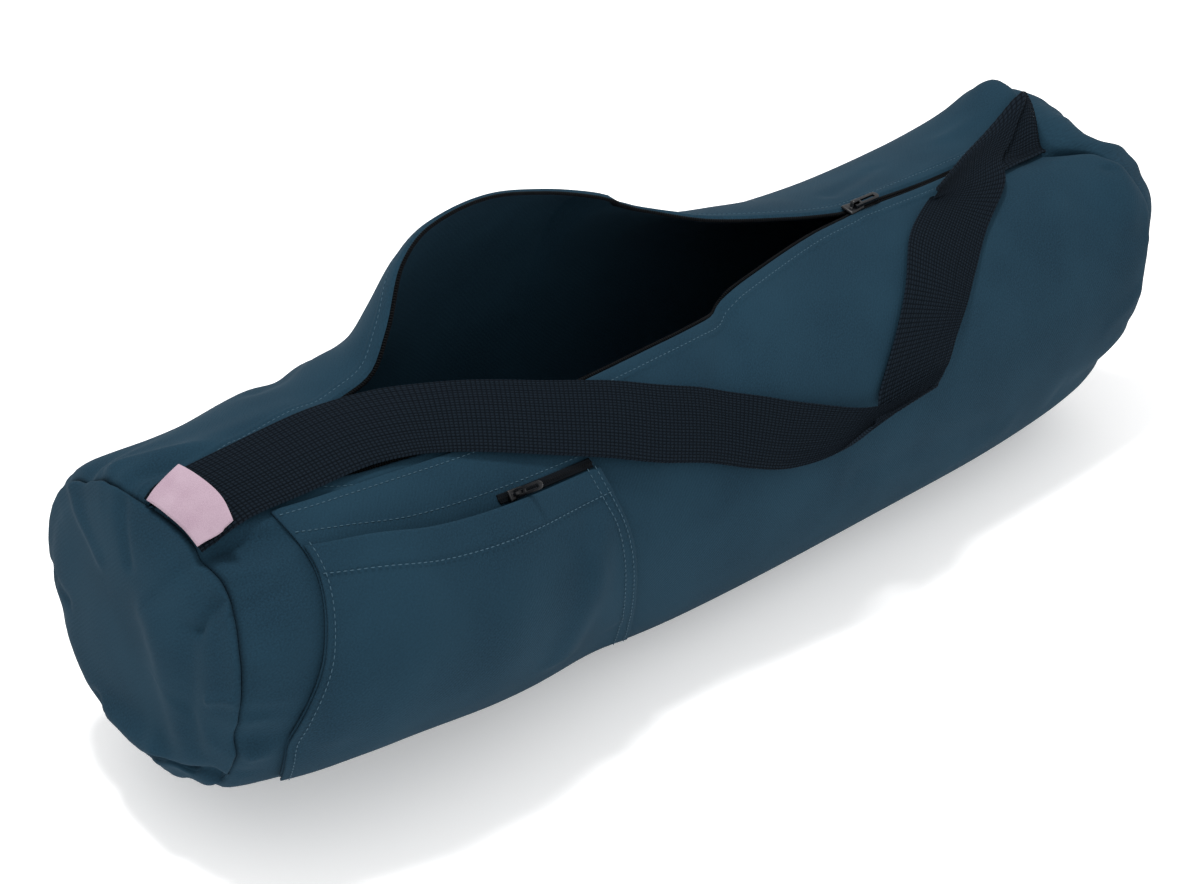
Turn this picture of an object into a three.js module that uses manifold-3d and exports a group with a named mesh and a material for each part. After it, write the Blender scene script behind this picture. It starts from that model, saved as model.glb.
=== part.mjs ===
// Yoga mat bag of cotton twill, lying on its side with its long zip half open.
// Millimetres. X runs along the bag, -Y is the front with the pocket, +Z is up.
// The origin is on the floor, under the middle of the bag.
import * as THREE from "three";
import { mergeVertices } from "three/addons/utils/BufferGeometryUtils.js";
import Module from "manifold-3d";

// Sizes of the bag
const bagLength = 650;        // from end seam to end seam
const bagWidth = 198;         // front to back at the middle
const bagHeight = 190;        // floor to the zip line
const clothWall = 1.5;        // twill
const topRoundness = 2.05;    // 2 is an ellipse, more is squarer
const baseRoundness = 2.25;
const farPanelLag = 84;       // along the bag, how late the far panel follows its raised edge
const touchGap = 0.3;         // between two pieces that touch
const layerGap = 0.9;         // under a layer that bends over the faceted cloth

// Sizes of the main zip
const zipAngle = 10;          // degrees from the top towards the front
const zipSlot = 6;            // between the two cloth edges where the zip is closed
const zipTapeHold = 9;        // tape sewn under the cloth
const zipTapeWall = 0.8;
const coilHeight = 1.8;
const coilWidth = 2.1;
const closedZipLength = 186;  // from the slider to the right seam
const zipEndInset = 5;        // from the end seam to the end of the tape
const sliderLength = 12;
const sliderWidth = 9;
const sliderTail = 6.5;       // its width at the closed end
const sliderWall = 2.2;
const pullLength = 19;
const pullWidth = 5.6;
const pullWall = 1.6;

// Sizes of the shoulder strap and the seam label
const strapWidth = 42;
const strapDrawnWidth = 42;   // the width that the rulings in the table span
const strapWall = 2.2;
const labelWidth = 38;
const labelReach = 18;
const labelWall = 1.0;
const labelLean = 8.5;

// Sizes of the round ends
const leftEndBulge = 14;
const rightEndBulge = 30;

// Sizes of the pocket
const pocketWall = 1.2;
const pocketGape = 12;        // how far the front panel stands off the back layer
const pocketZipWidth = 4.6;
const pocketZipWall = 1.4;
const pocketSliderLength = 8.5;
const pocketSliderWidth = 6;
const pocketSliderWall = 1.8;
const pocketPullLength = 14;
const pocketPullWidth = 4.4;
const pocketPullWall = 1.3;
const pocketPullLean = 62;    // degrees that its pull stands up off the zip

// Cross-sections along the bag. "at" is a share of the half length, -1 is the left seam.
// wide is a share of bagWidth, top and base are heights as shares of bagHeight, and a base
// under 0 is pressed flat on the floor.
const sections = [
  { at: -1.0, wide: 0.845, top: 0.965, base: 0.160 },
  { at: -0.985, wide: 0.880, top: 0.985, base: 0.145 },
  { at: -0.95, wide: 0.915, top: 0.995, base: 0.125 },
  { at: -0.85, wide: 0.955, top: 1.000, base: 0.075 },
  { at: -0.72, wide: 0.980, top: 1.005, base: 0.035 },
  { at: -0.55, wide: 1.000, top: 1.005, base: -0.010 },
  { at: -0.33, wide: 1.000, top: 0.995, base: -0.025 },
  { at: 0.0, wide: 1.010, top: 0.990, base: -0.035 },
  { at: 0.4, wide: 1.005, top: 0.985, base: -0.035 },
  { at: 0.62, wide: 1.000, top: 0.975, base: -0.030 },
  { at: 0.8, wide: 0.985, top: 0.975, base: -0.010 },
  { at: 0.92, wide: 0.965, top: 0.985, base: 0.018 },
  { at: 0.975, wide: 0.935, top: 0.985, base: 0.045 },
  { at: 1.0, wide: 0.895, top: 0.965, base: 0.070 },
];

// How far each end seam is drawn along the bag, as a share of bagLength.
// round is in degrees from the top towards the front.
const seamDraw = [
  { round: -180, left: 0.0, right: 0.0 },
  { round: -90, left: 0.004, right: 0.0 },
  { round: -40, left: 0.0, right: 0.004 },
  { round: -6, left: -0.004, right: -0.008 },
  { round: 18, left: 0.004, right: -0.036 },
  { round: 30, left: 0.008, right: 0.004 },
  { round: 52, left: 0.010, right: 0.026 },
  { round: 74, left: 0.0, right: 0.015 },
  { round: 96, left: -0.006, right: 0.006 },
  { round: 130, left: -0.004, right: -0.012 },
  { round: 180, left: 0.0, right: 0.0 },
];

// The open zip. along is a share of its open stretch, 0 at the left seam and 1 at the slider.
// near and far are the degrees that each cloth edge has moved off the zip line, rise lifts the
// far edge by a share of bagHeight and back moves it by one of bagWidth.
const mouth = [
  { along: 0.070, near: 0, far: 0, rise: 0.0, back: 0.0 },
  { along: 0.154, near: 17, far: 3, rise: 0.0, back: 0.0 },
  { along: 0.252, near: 21, far: 7, rise: 0.0, back: 0.0 },
  { along: 0.294, near: 21, far: 9, rise: 0.02, back: 0.0 },
  { along: 0.329, near: 21, far: 14, rise: 0.10, back: 0.0 },
  { along: 0.371, near: 20, far: 20, rise: 0.22, back: 0.02 },
  { along: 0.420, near: 20, far: 24, rise: 0.29, back: 0.03 },
  { along: 0.504, near: 19, far: 26, rise: 0.31, back: 0.04 },
  { along: 0.588, near: 18, far: 26, rise: 0.265, back: 0.04 },
  { along: 0.665, near: 17, far: 25, rise: 0.20, back: 0.03 },
  { along: 0.704, near: 15.5, far: 23, rise: 0.155, back: 0.02 },
  { along: 0.728, near: 12, far: 21, rise: 0.125, back: 0.015 },
  { along: 0.805, near: 7.5, far: 14, rise: 0.06, back: 0.0 },
  { along: 0.910, near: 2.5, far: 5, rise: 0.02, back: 0.0 },
  { along: 0.981, near: 0.8, far: 1.0, rise: 0.0, back: 0.0 },
  { along: 1.0, near: 0, far: 0, rise: 0.0, back: 0.0 },
];

// Broad dents and bulges: out is a share of bagHeight, long a share of the half length,
// wide the degrees round the bag.
const dents = [
  { at: -0.60, round: -30, out: 0.010, long: 0.18, wide: 22 },
  { at: -0.82, round: -45, out: -0.032, long: 0.20, wide: 36 },
  { at: 0.975, round: -16, out: 0.085, long: 0.095, wide: 17 },
  { at: 0.96, round: 17, out: -0.055, long: 0.10, wide: 10 },
  { at: 0.97, round: 50, out: 0.030, long: 0.08, wide: 18 },
  { at: 0.55, round: -24, out: -0.044, long: 0.30, wide: 30 },
  { at: -0.33, round: 120, out: -0.022, long: 0.10, wide: 22 },
  { at: -0.64, round: 122, out: -0.036, long: 0.36, wide: 34 },
  { at: -0.93, round: 70, out: 0.016, long: 0.05, wide: 26 },
];

// Folds as straight lines over the cloth: deep is a share of bagHeight, under 0 a valley,
// wide the share of bagHeight that the fold spreads over.
const folds = [
  { at: -0.98, round: -4, toAt: -0.72, toRound: -2, deep: 0.016, wide: 0.055 },
  { at: -0.98, round: -30, toAt: -0.80, toRound: -38, deep: -0.018, wide: 0.055 },
  { at: -0.98, round: 38, toAt: -0.94, toRound: 42, deep: -0.026, wide: 0.060 },
  { at: -0.98, round: 100, toAt: -0.945, toRound: 104, deep: -0.024, wide: 0.060 },
  { at: -0.98, round: 150, toAt: -0.80, toRound: 150, deep: -0.022, wide: 0.070 },
  { at: -0.98, round: -110, toAt: -0.78, toRound: -104, deep: -0.024, wide: 0.065 },
  { at: 0.03, round: 30, toAt: -0.08, toRound: 58, deep: -0.018, wide: 0.075 },
  { at: -0.60, round: -60, toAt: -0.68, toRound: -2, deep: -0.024, wide: 0.070 },
  { at: 0.98, round: 30, toAt: 0.86, toRound: 44, deep: -0.022, wide: 0.060 },
  { at: 0.98, round: 118, toAt: 0.80, toRound: 112, deep: -0.022, wide: 0.065 },
  { at: 0.98, round: -75, toAt: 0.74, toRound: -66, deep: -0.024, wide: 0.070 },
  { at: 0.98, round: -130, toAt: 0.80, toRound: -128, deep: -0.022, wide: 0.070 },
];

// Swells of the two round ends: reach is the share of the way from the middle to the rim,
// out a share of bagHeight, wide in degrees and deep in shares of the rim's radius.
const endSwells = {
  left: [
    { round: 165, reach: 0.80, out: 0.035, wide: 60, deep: 0.16 },
    { round: 70, reach: 0.50, out: 0.016, wide: 40, deep: 0.20 },
    { round: -60, reach: 0.60, out: -0.018, wide: 40, deep: 0.25 },
  ],
  right: [
    { round: 18, reach: 0.88, out: 0.145, wide: 44, deep: 0.20 },
    { round: 120, reach: 0.60, out: -0.020, wide: 50, deep: 0.25 },
  ],
};

// The shoulder strap as rulings from edge a to edge b. lift is in strap walls above the cloth.
// It lies along the top, folds over at the front, climbs back and folds over at the right end.
const strapRulings = [
  { aAt: -0.985, aRound: 6.0, aLift: 1.2, bAt: -0.985, bRound: 32.5, bLift: 1.2 },
  { aAt: -0.930, aRound: 7.0, aLift: 1.5, bAt: -0.920, bRound: 33.0, bLift: 1.5 },
  { aAt: -0.800, aRound: 5.2, aLift: 1.7, bAt: -0.810, bRound: 32.0, bLift: 1.7 },
  { aAt: -0.700, aRound: 5.3, aLift: 1.8, bAt: -0.715, bRound: 31.5, bLift: 1.8 },
  { aAt: -0.615, aRound: 8.3, aLift: 1.8, bAt: -0.645, bRound: 33.0, bLift: 1.8 },
  { aAt: -0.545, aRound: 12.7, aLift: 1.8, bAt: -0.600, bRound: 35.0, bLift: 1.8 },
  { aAt: -0.470, aRound: 18.1, aLift: 1.8, bAt: -0.540, bRound: 39.2, bLift: 2.4 },
  { aAt: -0.368, aRound: 26.6, aLift: 1.8, bAt: -0.438, bRound: 46.8, bLift: 2.7 },
  { aAt: -0.265, aRound: 34.2, aLift: 1.8, bAt: -0.335, bRound: 54.3, bLift: 3.0 },
  { aAt: -0.185, aRound: 41.0, aLift: 1.6, bAt: -0.248, bRound: 61.0, bLift: 2.6 },
  { aAt: -0.105, aRound: 47.2, aLift: 1.5, bAt: -0.160, bRound: 66.6, bLift: 2.2 },
  { aAt: -0.011, aRound: 55.8, aLift: 1.7, bAt: -0.077, bRound: 73.4, bLift: 2.8 },
  { aAt: 0.083, aRound: 63.9, aLift: 1.9, bAt: 0.005, bRound: 78.5, bLift: 3.4 },
  { aAt: 0.207, aRound: 72.6, aLift: 3.2, bAt: 0.097, bRound: 79.5, bLift: 5.2 },
  { aAt: 0.337, aRound: 74.4, aLift: 5.0, bAt: 0.180, bRound: 76.5, bLift: 6.0 },
  { aAt: 0.374, aRound: 74.4, aLift: 3.6, bAt: 0.202, bRound: 75.8, bLift: 4.4 },
  { aAt: 0.406, aRound: 72.8, aLift: 1.8, bAt: 0.225, bRound: 74.5, bLift: 2.4 },
  { aAt: 0.424, aRound: 70.4, aLift: 1.3, bAt: 0.245, bRound: 70.0, bLift: 1.3 },
  { aAt: 0.452, aRound: 64.5, aLift: 1.2, bAt: 0.290, bRound: 61.0, bLift: 1.2 },
  { aAt: 0.498, aRound: 57.0, aLift: 1.3, bAt: 0.375, bRound: 45.5, bLift: 1.3 },
  { aAt: 0.545, aRound: 49.5, aLift: 1.2, bAt: 0.460, bRound: 29.9, bLift: 1.2 },
  { aAt: 0.640, aRound: 36.3, aLift: 1.4, bAt: 0.550, bRound: 21.2, bLift: 1.8 },
  { aAt: 0.803, aRound: 20.6, aLift: 2.6, bAt: 0.565, bRound: 21.3, bLift: 2.8 },
  { aAt: 0.951, aRound: 3.1, aLift: 2.9, bAt: 0.585, bRound: 20.1, bLift: 2.9 },
  { aAt: 0.980, aRound: -3.2, aLift: 2.7, bAt: 0.595, bRound: 18.7, bLift: 2.7 },
  { aAt: 0.984, aRound: -3.6, aLift: 1.8, bAt: 0.615, bRound: 18.9, bLift: 1.7 },
  { aAt: 0.988, aRound: -5.3, aLift: 1.6, bAt: 0.780, bRound: 21.5, bLift: 1.3 },
  { aAt: 0.992, aRound: -5.8, aLift: 1.6, bAt: 0.992, bRound: 19.7, bLift: 1.5 },
].map((row, index) => ({ ...row, index }));

// The pocket's two sides: round in degrees, left and right as shares of the half length
const pocketSides = [
  { round: 34, left: -0.890, right: -0.366 },
  { round: 55, left: -0.878, right: -0.356 },
  { round: 76, left: -0.890, right: -0.328 },
  { round: 96, left: -0.925, right: -0.310 },
  { round: 112, left: -0.935, right: -0.290 },
  { round: 132, left: -0.920, right: -0.262 },
];

// The pocket's top edge, mouth and bottom edge in degrees, from its left side, 0, to its right, 1
const pocketEdges = [
  { across: 0.0, top: 33, mouth: 46, bottom: 127 },
  { across: 0.15, top: 34, mouth: 49, bottom: 128 },
  { across: 0.35, top: 35, mouth: 53, bottom: 129 },
  { across: 0.65, top: 36, mouth: 54.5, bottom: 129 },
  { across: 1.0, top: 36, mouth: 55, bottom: 127 },
];
const pocketSliderAcross = 0.69;

// Number of faces, and the degrees round the bag of the body's straight lines of faces
const alongSteps = 44;
const strapSteps = 64;
const firstLine = 45;
const lastLine = 325;
const lineStep = 10;
const nearStrips = 3;
const farStrips = 4;

const lineStrips = (lastLine - firstLine) / lineStep;
const roundSteps = nearStrips + lineStrips + farStrips;

const halfLength = bagLength / 2;
const sliderAt = 1 - closedZipLength / halfLength;
const openLength = bagLength - closedZipLength;

function smoothStep(low, high, value) {
  const t = Math.min(Math.max((value - low) / (high - low), 0), 1);
  return t * t * (3 - 2 * t);
}

// Smooth value of a column between the rows of a table, held level beyond its ends
function read(table, by, column, value) {
  const last = table.length - 1;
  if (value <= table[0][by]) return table[0][column];
  if (value >= table[last][by]) return table[last][column];
  let i = 0;
  while (value > table[i + 1][by]) i += 1;
  const slope = (k) => {
    const a = Math.max(k - 1, 0);
    const b = Math.min(k + 1, last);
    return (table[b][column] - table[a][column]) / (table[b][by] - table[a][by]);
  };
  const span = table[i + 1][by] - table[i][by];
  const t = (value - table[i][by]) / span;
  const rise = t * t * (3 - 2 * t);
  const leave = t * (1 - t) * (1 - t) * span * slope(i);
  const arrive = t * t * (t - 1) * span * slope(i + 1);
  return table[i][column] * (1 - rise) + table[i + 1][column] * rise + leave + arrive;
}

function wrapDegrees(round) {
  return ((((round + 180) % 360) + 360) % 360) - 180;
}

// A point of the plain cross-section, a rounded ring that is squarer below
function sectionPoint(at, round) {
  const angle = THREE.MathUtils.degToRad(round);
  const sine = Math.sin(angle);
  const cosine = Math.cos(angle);
  const halfWidth = (read(sections, "at", "wide", at) * bagWidth) / 2;
  const top = read(sections, "at", "top", at) * bagHeight;
  const base = read(sections, "at", "base", at) * bagHeight;
  const middle = (top + base) / 2;
  const halfHeight = (top - base) / 2;
  const lower = smoothStep(0.2, -0.6, cosine);
  const power = THREE.MathUtils.lerp(topRoundness, baseRoundness, lower);
  const across = Math.pow(Math.abs(sine) / halfWidth, power);
  const upright = Math.pow(Math.abs(cosine) / halfHeight, power);
  const radius = Math.pow(across + upright, -1 / power);
  return new THREE.Vector3(0, -radius * sine, middle + radius * cosine);
}

// Height of the dents and folds over the plain section, as a share of bagHeight
function relief(at, round) {
  const girth = (Math.PI * (bagWidth + bagHeight)) / 2;
  let out = 0;
  for (const dent of dents) {
    const along = (at - dent.at) / dent.long;
    const around = wrapDegrees(round - dent.round) / dent.wide;
    out += dent.out * Math.exp(-along * along - around * around);
  }
  for (const fold of folds) {
    const runX = (fold.toAt - fold.at) * halfLength;
    const runY = (wrapDegrees(fold.toRound - fold.round) / 360) * girth;
    const x = (at - fold.at) * halfLength;
    const y = (wrapDegrees(round - fold.round) / 360) * girth;
    const along = (x * runX + y * runY) / (runX * runX + runY * runY);
    const held = Math.min(Math.max(along, 0), 1);
    const away = Math.hypot(x - held * runX, y - held * runY) / (fold.wide * bagHeight);
    out += fold.deep * Math.exp(-away * away) * (1 - held / 2);
  }
  return out;
}

// Outer face of the closed bag
function bagPoint(at, round) {
  const angle = wrapDegrees(round);
  const point = sectionPoint(at, angle);
  const push = relief(at, angle) * bagHeight;
  const reach = Math.hypot(point.y, point.z - bagHeight / 2);
  point.y += (push * point.y) / reach;
  point.z += (push * (point.z - bagHeight / 2)) / reach;
  point.z = Math.max(point.z, 0);
  const draw = read(seamDraw, "round", at < 0 ? "left" : "right", angle) * bagLength;
  point.x = at * halfLength + draw * smoothStep(0.55, 1, Math.abs(at));
  return point;
}

// How far the zip is open at a place along the bag
function opening(at, column) {
  const along = ((at + 1) * halfLength) / openLength;
  return Math.max(read(mouth, "along", column, along), 0);
}

const slotDegrees = THREE.MathUtils.radToDeg(zipSlot / bagHeight);
const hemDegrees = THREE.MathUtils.radToDeg((zipTapeHold * 2) / bagHeight);

// Degrees round the bag of line j of the body's faces, from the near zip edge to the far one.
// The strip along each zip edge is as wide as its tape.
function lineRound(at, j) {
  const near = zipAngle + slotDegrees + opening(at, "near");
  const far = 360 + zipAngle - slotDegrees - opening(at, "far");
  if (j <= 0) return near;
  if (j >= roundSteps) return far;
  const nearHem = near + hemDegrees;
  const farHem = far - hemDegrees;
  if (j < nearStrips) return nearHem + ((firstLine - nearHem) * (j - 1)) / (nearStrips - 1);
  const lines = j - nearStrips;
  if (lines <= lineStrips) return firstLine + lines * lineStep;
  return lastLine + ((farHem - lastLine) * (lines - lineStrips)) / (farStrips - 1);
}

// Outer face of the open bag on line j of its faces
function openPoint(at, j) {
  const round = lineRound(at, j);
  const point = bagPoint(at, round);
  const swing = smoothStep(265, 352, round);
  const lag = ((1 - swing * swing) * farPanelLag) / halfLength;
  point.z += opening(at < 0 ? at - lag : at, "rise") * bagHeight * swing;
  point.y += opening(at, "back") * bagWidth * swing;
  return point;
}

// A closed mesh from lists of points and of faces
function solid(points, faces) {
  const geometry = new THREE.BufferGeometry();
  const flat = points.flatMap((point) => [point.x, point.y, point.z]);
  geometry.setAttribute("position", new THREE.Float32BufferAttribute(flat, 3));
  geometry.setIndex(faces.flat());
  geometry.computeVertexNormals();
  return geometry;
}

// Normal of a grid of points, from the neighbours of one point
function gridNormal(grid, i, j) {
  const lastRow = grid.length - 1;
  const lastColumn = grid[0].length - 1;
  const along = grid[Math.min(i + 1, lastRow)][j].clone().sub(grid[Math.max(i - 1, 0)][j]);
  const across = grid[i][Math.min(j + 1, lastColumn)].clone().sub(grid[i][Math.max(j - 1, 0)]);
  return across.cross(along).normalize();
}

// A cloth sheet: a grid of points given thickness above and below along its normals
function sheetSolid(grid, above, below) {
  const rows = grid.length - 1;
  const columns = grid[0].length - 1;
  const upper = (i, j) => i * (columns + 1) + j;
  const lower = (i, j) => (rows + 1) * (columns + 1) + upper(i, j);
  const offset = (by) => grid.flatMap((row, i) => row.map((point, j) =>
    point.clone().addScaledVector(gridNormal(grid, i, j), by)));
  const faces = [];
  const quad = (a, b, c, d) => faces.push([a, b, c], [a, c, d]);
  for (let i = 0; i < rows; i += 1) {
    for (let j = 0; j < columns; j += 1) {
      quad(upper(i, j), upper(i, j + 1), upper(i + 1, j + 1), upper(i + 1, j));
      quad(lower(i, j), lower(i + 1, j), lower(i + 1, j + 1), lower(i, j + 1));
    }
    quad(upper(i, 0), upper(i + 1, 0), lower(i + 1, 0), lower(i, 0));
    quad(upper(i, columns), lower(i, columns), lower(i + 1, columns), upper(i + 1, columns));
  }
  for (let j = 0; j < columns; j += 1) {
    quad(upper(0, j), lower(0, j), lower(0, j + 1), upper(0, j + 1));
    quad(upper(rows, j), upper(rows, j + 1), lower(rows, j + 1), lower(rows, j));
  }
  return solid([...offset(above), ...offset(-below)], faces);
}

function makeGrid(rows, columns, place) {
  const grid = [];
  for (let i = 0; i <= rows; i += 1) {
    const row = [];
    for (let j = 0; j <= columns; j += 1) row.push(place(i / rows, j / columns));
    grid.push(row);
  }
  return grid;
}

// A point on the faces of a grid, at a broken row i and column j
function onFaces(grid, i, j) {
  const row = Math.min(Math.max(Math.floor(i), 0), grid.length - 2);
  const column = Math.min(Math.max(Math.floor(j), 0), grid[0].length - 2);
  const start = grid[row][column];
  const end = grid[row + 1][column + 1];
  const early = j - column > i - row;
  const corner = early ? grid[row][column + 1] : grid[row + 1][column];
  const first = early ? j - column : i - row;
  const second = early ? i - row : j - column;
  const step = corner.clone().sub(start).multiplyScalar(first);
  return start.clone().add(step).add(end.clone().sub(corner).multiplyScalar(second));
}

// A bar along a run of stations that all carry the same outline of points
function barSolid(runs, outline) {
  const count = outline.length;
  const faces = [];
  for (let i = 0; i + 1 < runs.length; i += 1) {
    for (let j = 0; j < count; j += 1) {
      const a = i * count + j;
      const b = i * count + ((j + 1) % count);
      faces.push([a, a + count, b], [b, a + count, b + count]);
    }
  }
  const flatOutline = outline.map(([x, y]) => new THREE.Vector2(x, y));
  const clockwise = THREE.ShapeUtils.isClockWise(flatOutline);
  const end = (runs.length - 1) * count;
  for (const [a, b, c] of THREE.ShapeUtils.triangulateShape(flatOutline, [])) {
    const [second, third] = clockwise ? [c, b] : [b, c];
    faces.push([a, second, third], [end + a, end + third, end + second]);
  }
  return solid(runs.flat(), faces);
}

const group = new THREE.Group();

const cloth = { color: 0x2b4152, roughness: 0.92, metalness: 0 };
const webbing = { color: 0x151c23, roughness: 0.95, metalness: 0 };
const zipper = { color: 0x0d1116, roughness: 0.6, metalness: 0 };
const enamel = { color: 0x0b0d10, roughness: 0.35, metalness: 0.4 };
const labelCloth = { color: 0xd3b6c2, roughness: 0.85, metalness: 0 };

function addPiece(name, geometry, finish, parent = group) {
  const mesh = new THREE.Mesh(geometry, new THREE.MeshStandardMaterial(finish));
  mesh.name = name;
  parent.add(mesh);
  return mesh;
}

// Places along the bag, closer together at the seams
function stationAt(i) {
  const even = (2 * i) / alongSteps - 1;
  return 0.84 * even + 0.16 * Math.sin((Math.PI / 2) * even);
}

// The main body: one panel of cloth from the near zip edge under the bag to the far one
const bodyGrid = [];
for (let i = 0; i <= alongSteps; i += 1) {
  const row = [];
  for (let j = 0; j <= roundSteps; j += 1) row.push(openPoint(stationAt(i), j));
  bodyGrid.push(row);
}
addPiece("bag_body", sheetSolid(bodyGrid, 0, clothWall), cloth);

// A place over the cloth, lift millimetres off its faces, or off the closed shape at the mouth
function placeOver(at, round, lift) {
  const left = bagPoint(Math.max(at - 0.01, -1), round);
  const right = bagPoint(Math.min(at + 0.01, 1), round);
  const turn = bagPoint(at, round + 1).sub(bagPoint(at, round - 1));
  const normal = turn.cross(right.sub(left)).normalize();
  let i = 0;
  while (i < alongSteps - 1 && stationAt(i + 1) < at) i += 1;
  i += (at - stationAt(i)) / (stationAt(i + 1) - stationAt(i));
  const angle = round < lineRound(at, 0) - touchGap ? round + 360 : round;
  if (angle > lineRound(at, roundSteps)) return bagPoint(at, round).addScaledVector(normal, lift);
  let j = 0;
  while (j < roundSteps - 1 && lineRound(at, j + 1) < angle) j += 1;
  j += (angle - lineRound(at, j)) / (lineRound(at, j + 1) - lineRound(at, j));
  return onFaces(bodyGrid, i, j).addScaledVector(normal, lift);
}

// A point on the inner face of the body
function innerPoint(i, j) {
  return bodyGrid[i][j].clone().addScaledVector(gridNormal(bodyGrid, i, j), -clothWall);
}

// A zip tape with its coil along one cloth edge, parallel to the first strip of cloth beside it
function zipTapeSolid(edge, beside) {
  const reach = zipSlot / 2 - touchGap;
  const under = -touchGap * 2;
  const outline = [
    [-zipTapeHold, under],
    [-zipTapeHold, under - zipTapeWall],
    [reach, under - zipTapeWall],
    [reach, under + coilHeight],
    [reach - coilWidth, under + coilHeight],
    [reach - coilWidth, under],
  ];
  if (edge === 0) outline.reverse();
  const runs = [];
  for (let i = 0; i <= alongSteps; i += 1) {
    if (Math.abs(stationAt(i)) > 1 - zipEndInset / halfLength) continue;
    const lip = innerPoint(i, edge);
    const out = lip.clone().sub(innerPoint(i, beside));
    const hold = out.length();
    out.normalize();
    const along = innerPoint(i + 1, edge).sub(innerPoint(i - 1, edge)).normalize();
    const up = edge === 0 ? along.clone().cross(out) : out.clone().cross(along);
    up.normalize();
    const slotHere = innerPoint(i, 0).distanceTo(innerPoint(i, roundSteps));
    const late = Math.max(reach + touchGap - slotHere / 2, 0);
    runs.push(outline.map(([a, b]) =>
      lip.clone().addScaledVector(out, a < 0 ? -hold : a - late).addScaledVector(up, b)));
  }
  return barSolid(runs, outline);
}

addPiece("zip_tape_near", zipTapeSolid(0, 1), zipper);
addPiece("zip_tape_far", zipTapeSolid(roundSteps, roundSteps - 1), zipper);

// A round end: a disc of cloth held inside the body's end seam and puffed outwards
function endSolid(side) {
  const row = side < 0 ? 0 : alongSteps;
  const bulge = side < 0 ? leftEndBulge : rightEndBulge;
  const swells = side < 0 ? endSwells.left : endSwells.right;
  const rim = [];
  for (let j = 0; j <= roundSteps; j += 1) rim.push(innerPoint(row, j));
  const middle = new THREE.Vector3();
  rim.forEach((point) => middle.addScaledVector(point, 1 / rim.length));
  const reaches = [1, 0.96, 0.87, 0.7, 0.45];
  const layer = (inset) => reaches.map((reach) => rim.map((point) => {
    const spoke = point.clone().sub(middle);
    const round = THREE.MathUtils.radToDeg(Math.atan2(-spoke.y, spoke.z));
    let out = (bulge - inset) * Math.sqrt(1 - Math.pow(reach, 4));
    for (const swell of swells) {
      const around = wrapDegrees(round - swell.round) / swell.wide;
      const away = (reach - swell.reach) / swell.deep;
      const rise = swell.out * bagHeight * Math.exp(-around * around - away * away);
      out += rise * smoothStep(1, 0.9, reach);
    }
    spoke.setLength(spoke.length() - inset - touchGap);
    const placed = middle.clone().addScaledVector(spoke, reach);
    placed.x = middle.x + spoke.x * Math.pow(reach, 5) + side * out;
    return placed;
  }));
  const tip = (inset) => new THREE.Vector3(middle.x + side * (bulge - inset), middle.y, middle.z);
  const count = rim.length;
  const outer = layer(0).flat();
  const inner = layer(clothWall).flat();
  const points = [...outer, tip(0), ...inner, tip(clothWall)];
  const innerStart = outer.length + 1;
  const faces = [];
  const face = (a, b, c) => faces.push(side < 0 ? [a, c, b] : [a, b, c]);
  const lastRing = (reaches.length - 1) * count;
  for (let k = 0; k < count; k += 1) {
    const next = (k + 1) % count;
    for (let ring = 0; ring + 1 < reaches.length; ring += 1) {
      const a = ring * count + k;
      const b = ring * count + next;
      face(a, b, b + count);
      face(a, b + count, a + count);
      face(innerStart + a, innerStart + b + count, innerStart + b);
      face(innerStart + a, innerStart + a + count, innerStart + b + count);
    }
    face(lastRing + k, lastRing + next, outer.length);
    face(innerStart + lastRing + k, innerStart + outer.length, innerStart + lastRing + next);
    face(k, innerStart + k, innerStart + next);
    face(k, innerStart + next, next);
  }
  return solid(points, faces);
}

addPiece("end_cap_left", endSolid(-1), cloth);
addPiece("end_cap_right", endSolid(1), cloth);

// The shoulder strap: a flat band between its two edges that follows the bag in its middle
function strapSolid() {
  const last = strapRulings.length - 1;
  const grid = makeGrid(strapSteps, 4, (run, across) => {
    const at = (column) => read(strapRulings, "index", column, run * last);
    const share = 0.5 + ((across - 0.5) * strapWidth) / strapDrawnWidth;
    const mix = (a, b) => THREE.MathUtils.lerp(at(a), at(b), share);
    return placeOver(mix("aAt", "bAt"), mix("aRound", "bRound"), mix("aLift", "bLift") * strapWall);
  });
  return sheetSolid(grid, strapWall / 2, strapWall / 2);
}

addPiece("shoulder_strap", strapSolid(), webbing);

// The woven label in the left seam, over the start of the strap
function labelSolid() {
  const girth = (Math.PI * (bagWidth + bagHeight)) / 2;
  const strapTop = (strapRulings[0].aLift + 0.5) * strapWall;
  const middle = (strapRulings[0].aRound + strapRulings[0].bRound) / 2;
  const spread = (labelWidth / girth) * 360;
  const grid = makeGrid(4, 5, (reach, across) => {
    const at = strapRulings[0].aAt + (reach * labelReach) / halfLength;
    const lift = strapTop + touchGap + labelWall / 2 + labelLean * Math.pow(reach, 1.4);
    return placeOver(at, middle + spread * (across - 0.5), lift);
  });
  return sheetSolid(grid, labelWall / 2, labelWall / 2);
}

addPiece("seam_label", labelSolid(), labelCloth);

// The pocket's back layer: columns from side to side, rows on the body's own lines of faces
const pocketColumns = 13;
const pocketLines = [];
for (let line = firstLine; line < pocketEdges[0].bottom - 1; line += lineStep) {
  pocketLines.push(line);
}

function pocketAt(across, round) {
  const left = read(pocketSides, "round", "left", round);
  const right = read(pocketSides, "round", "right", round);
  return left + (right - left) * across;
}

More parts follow.
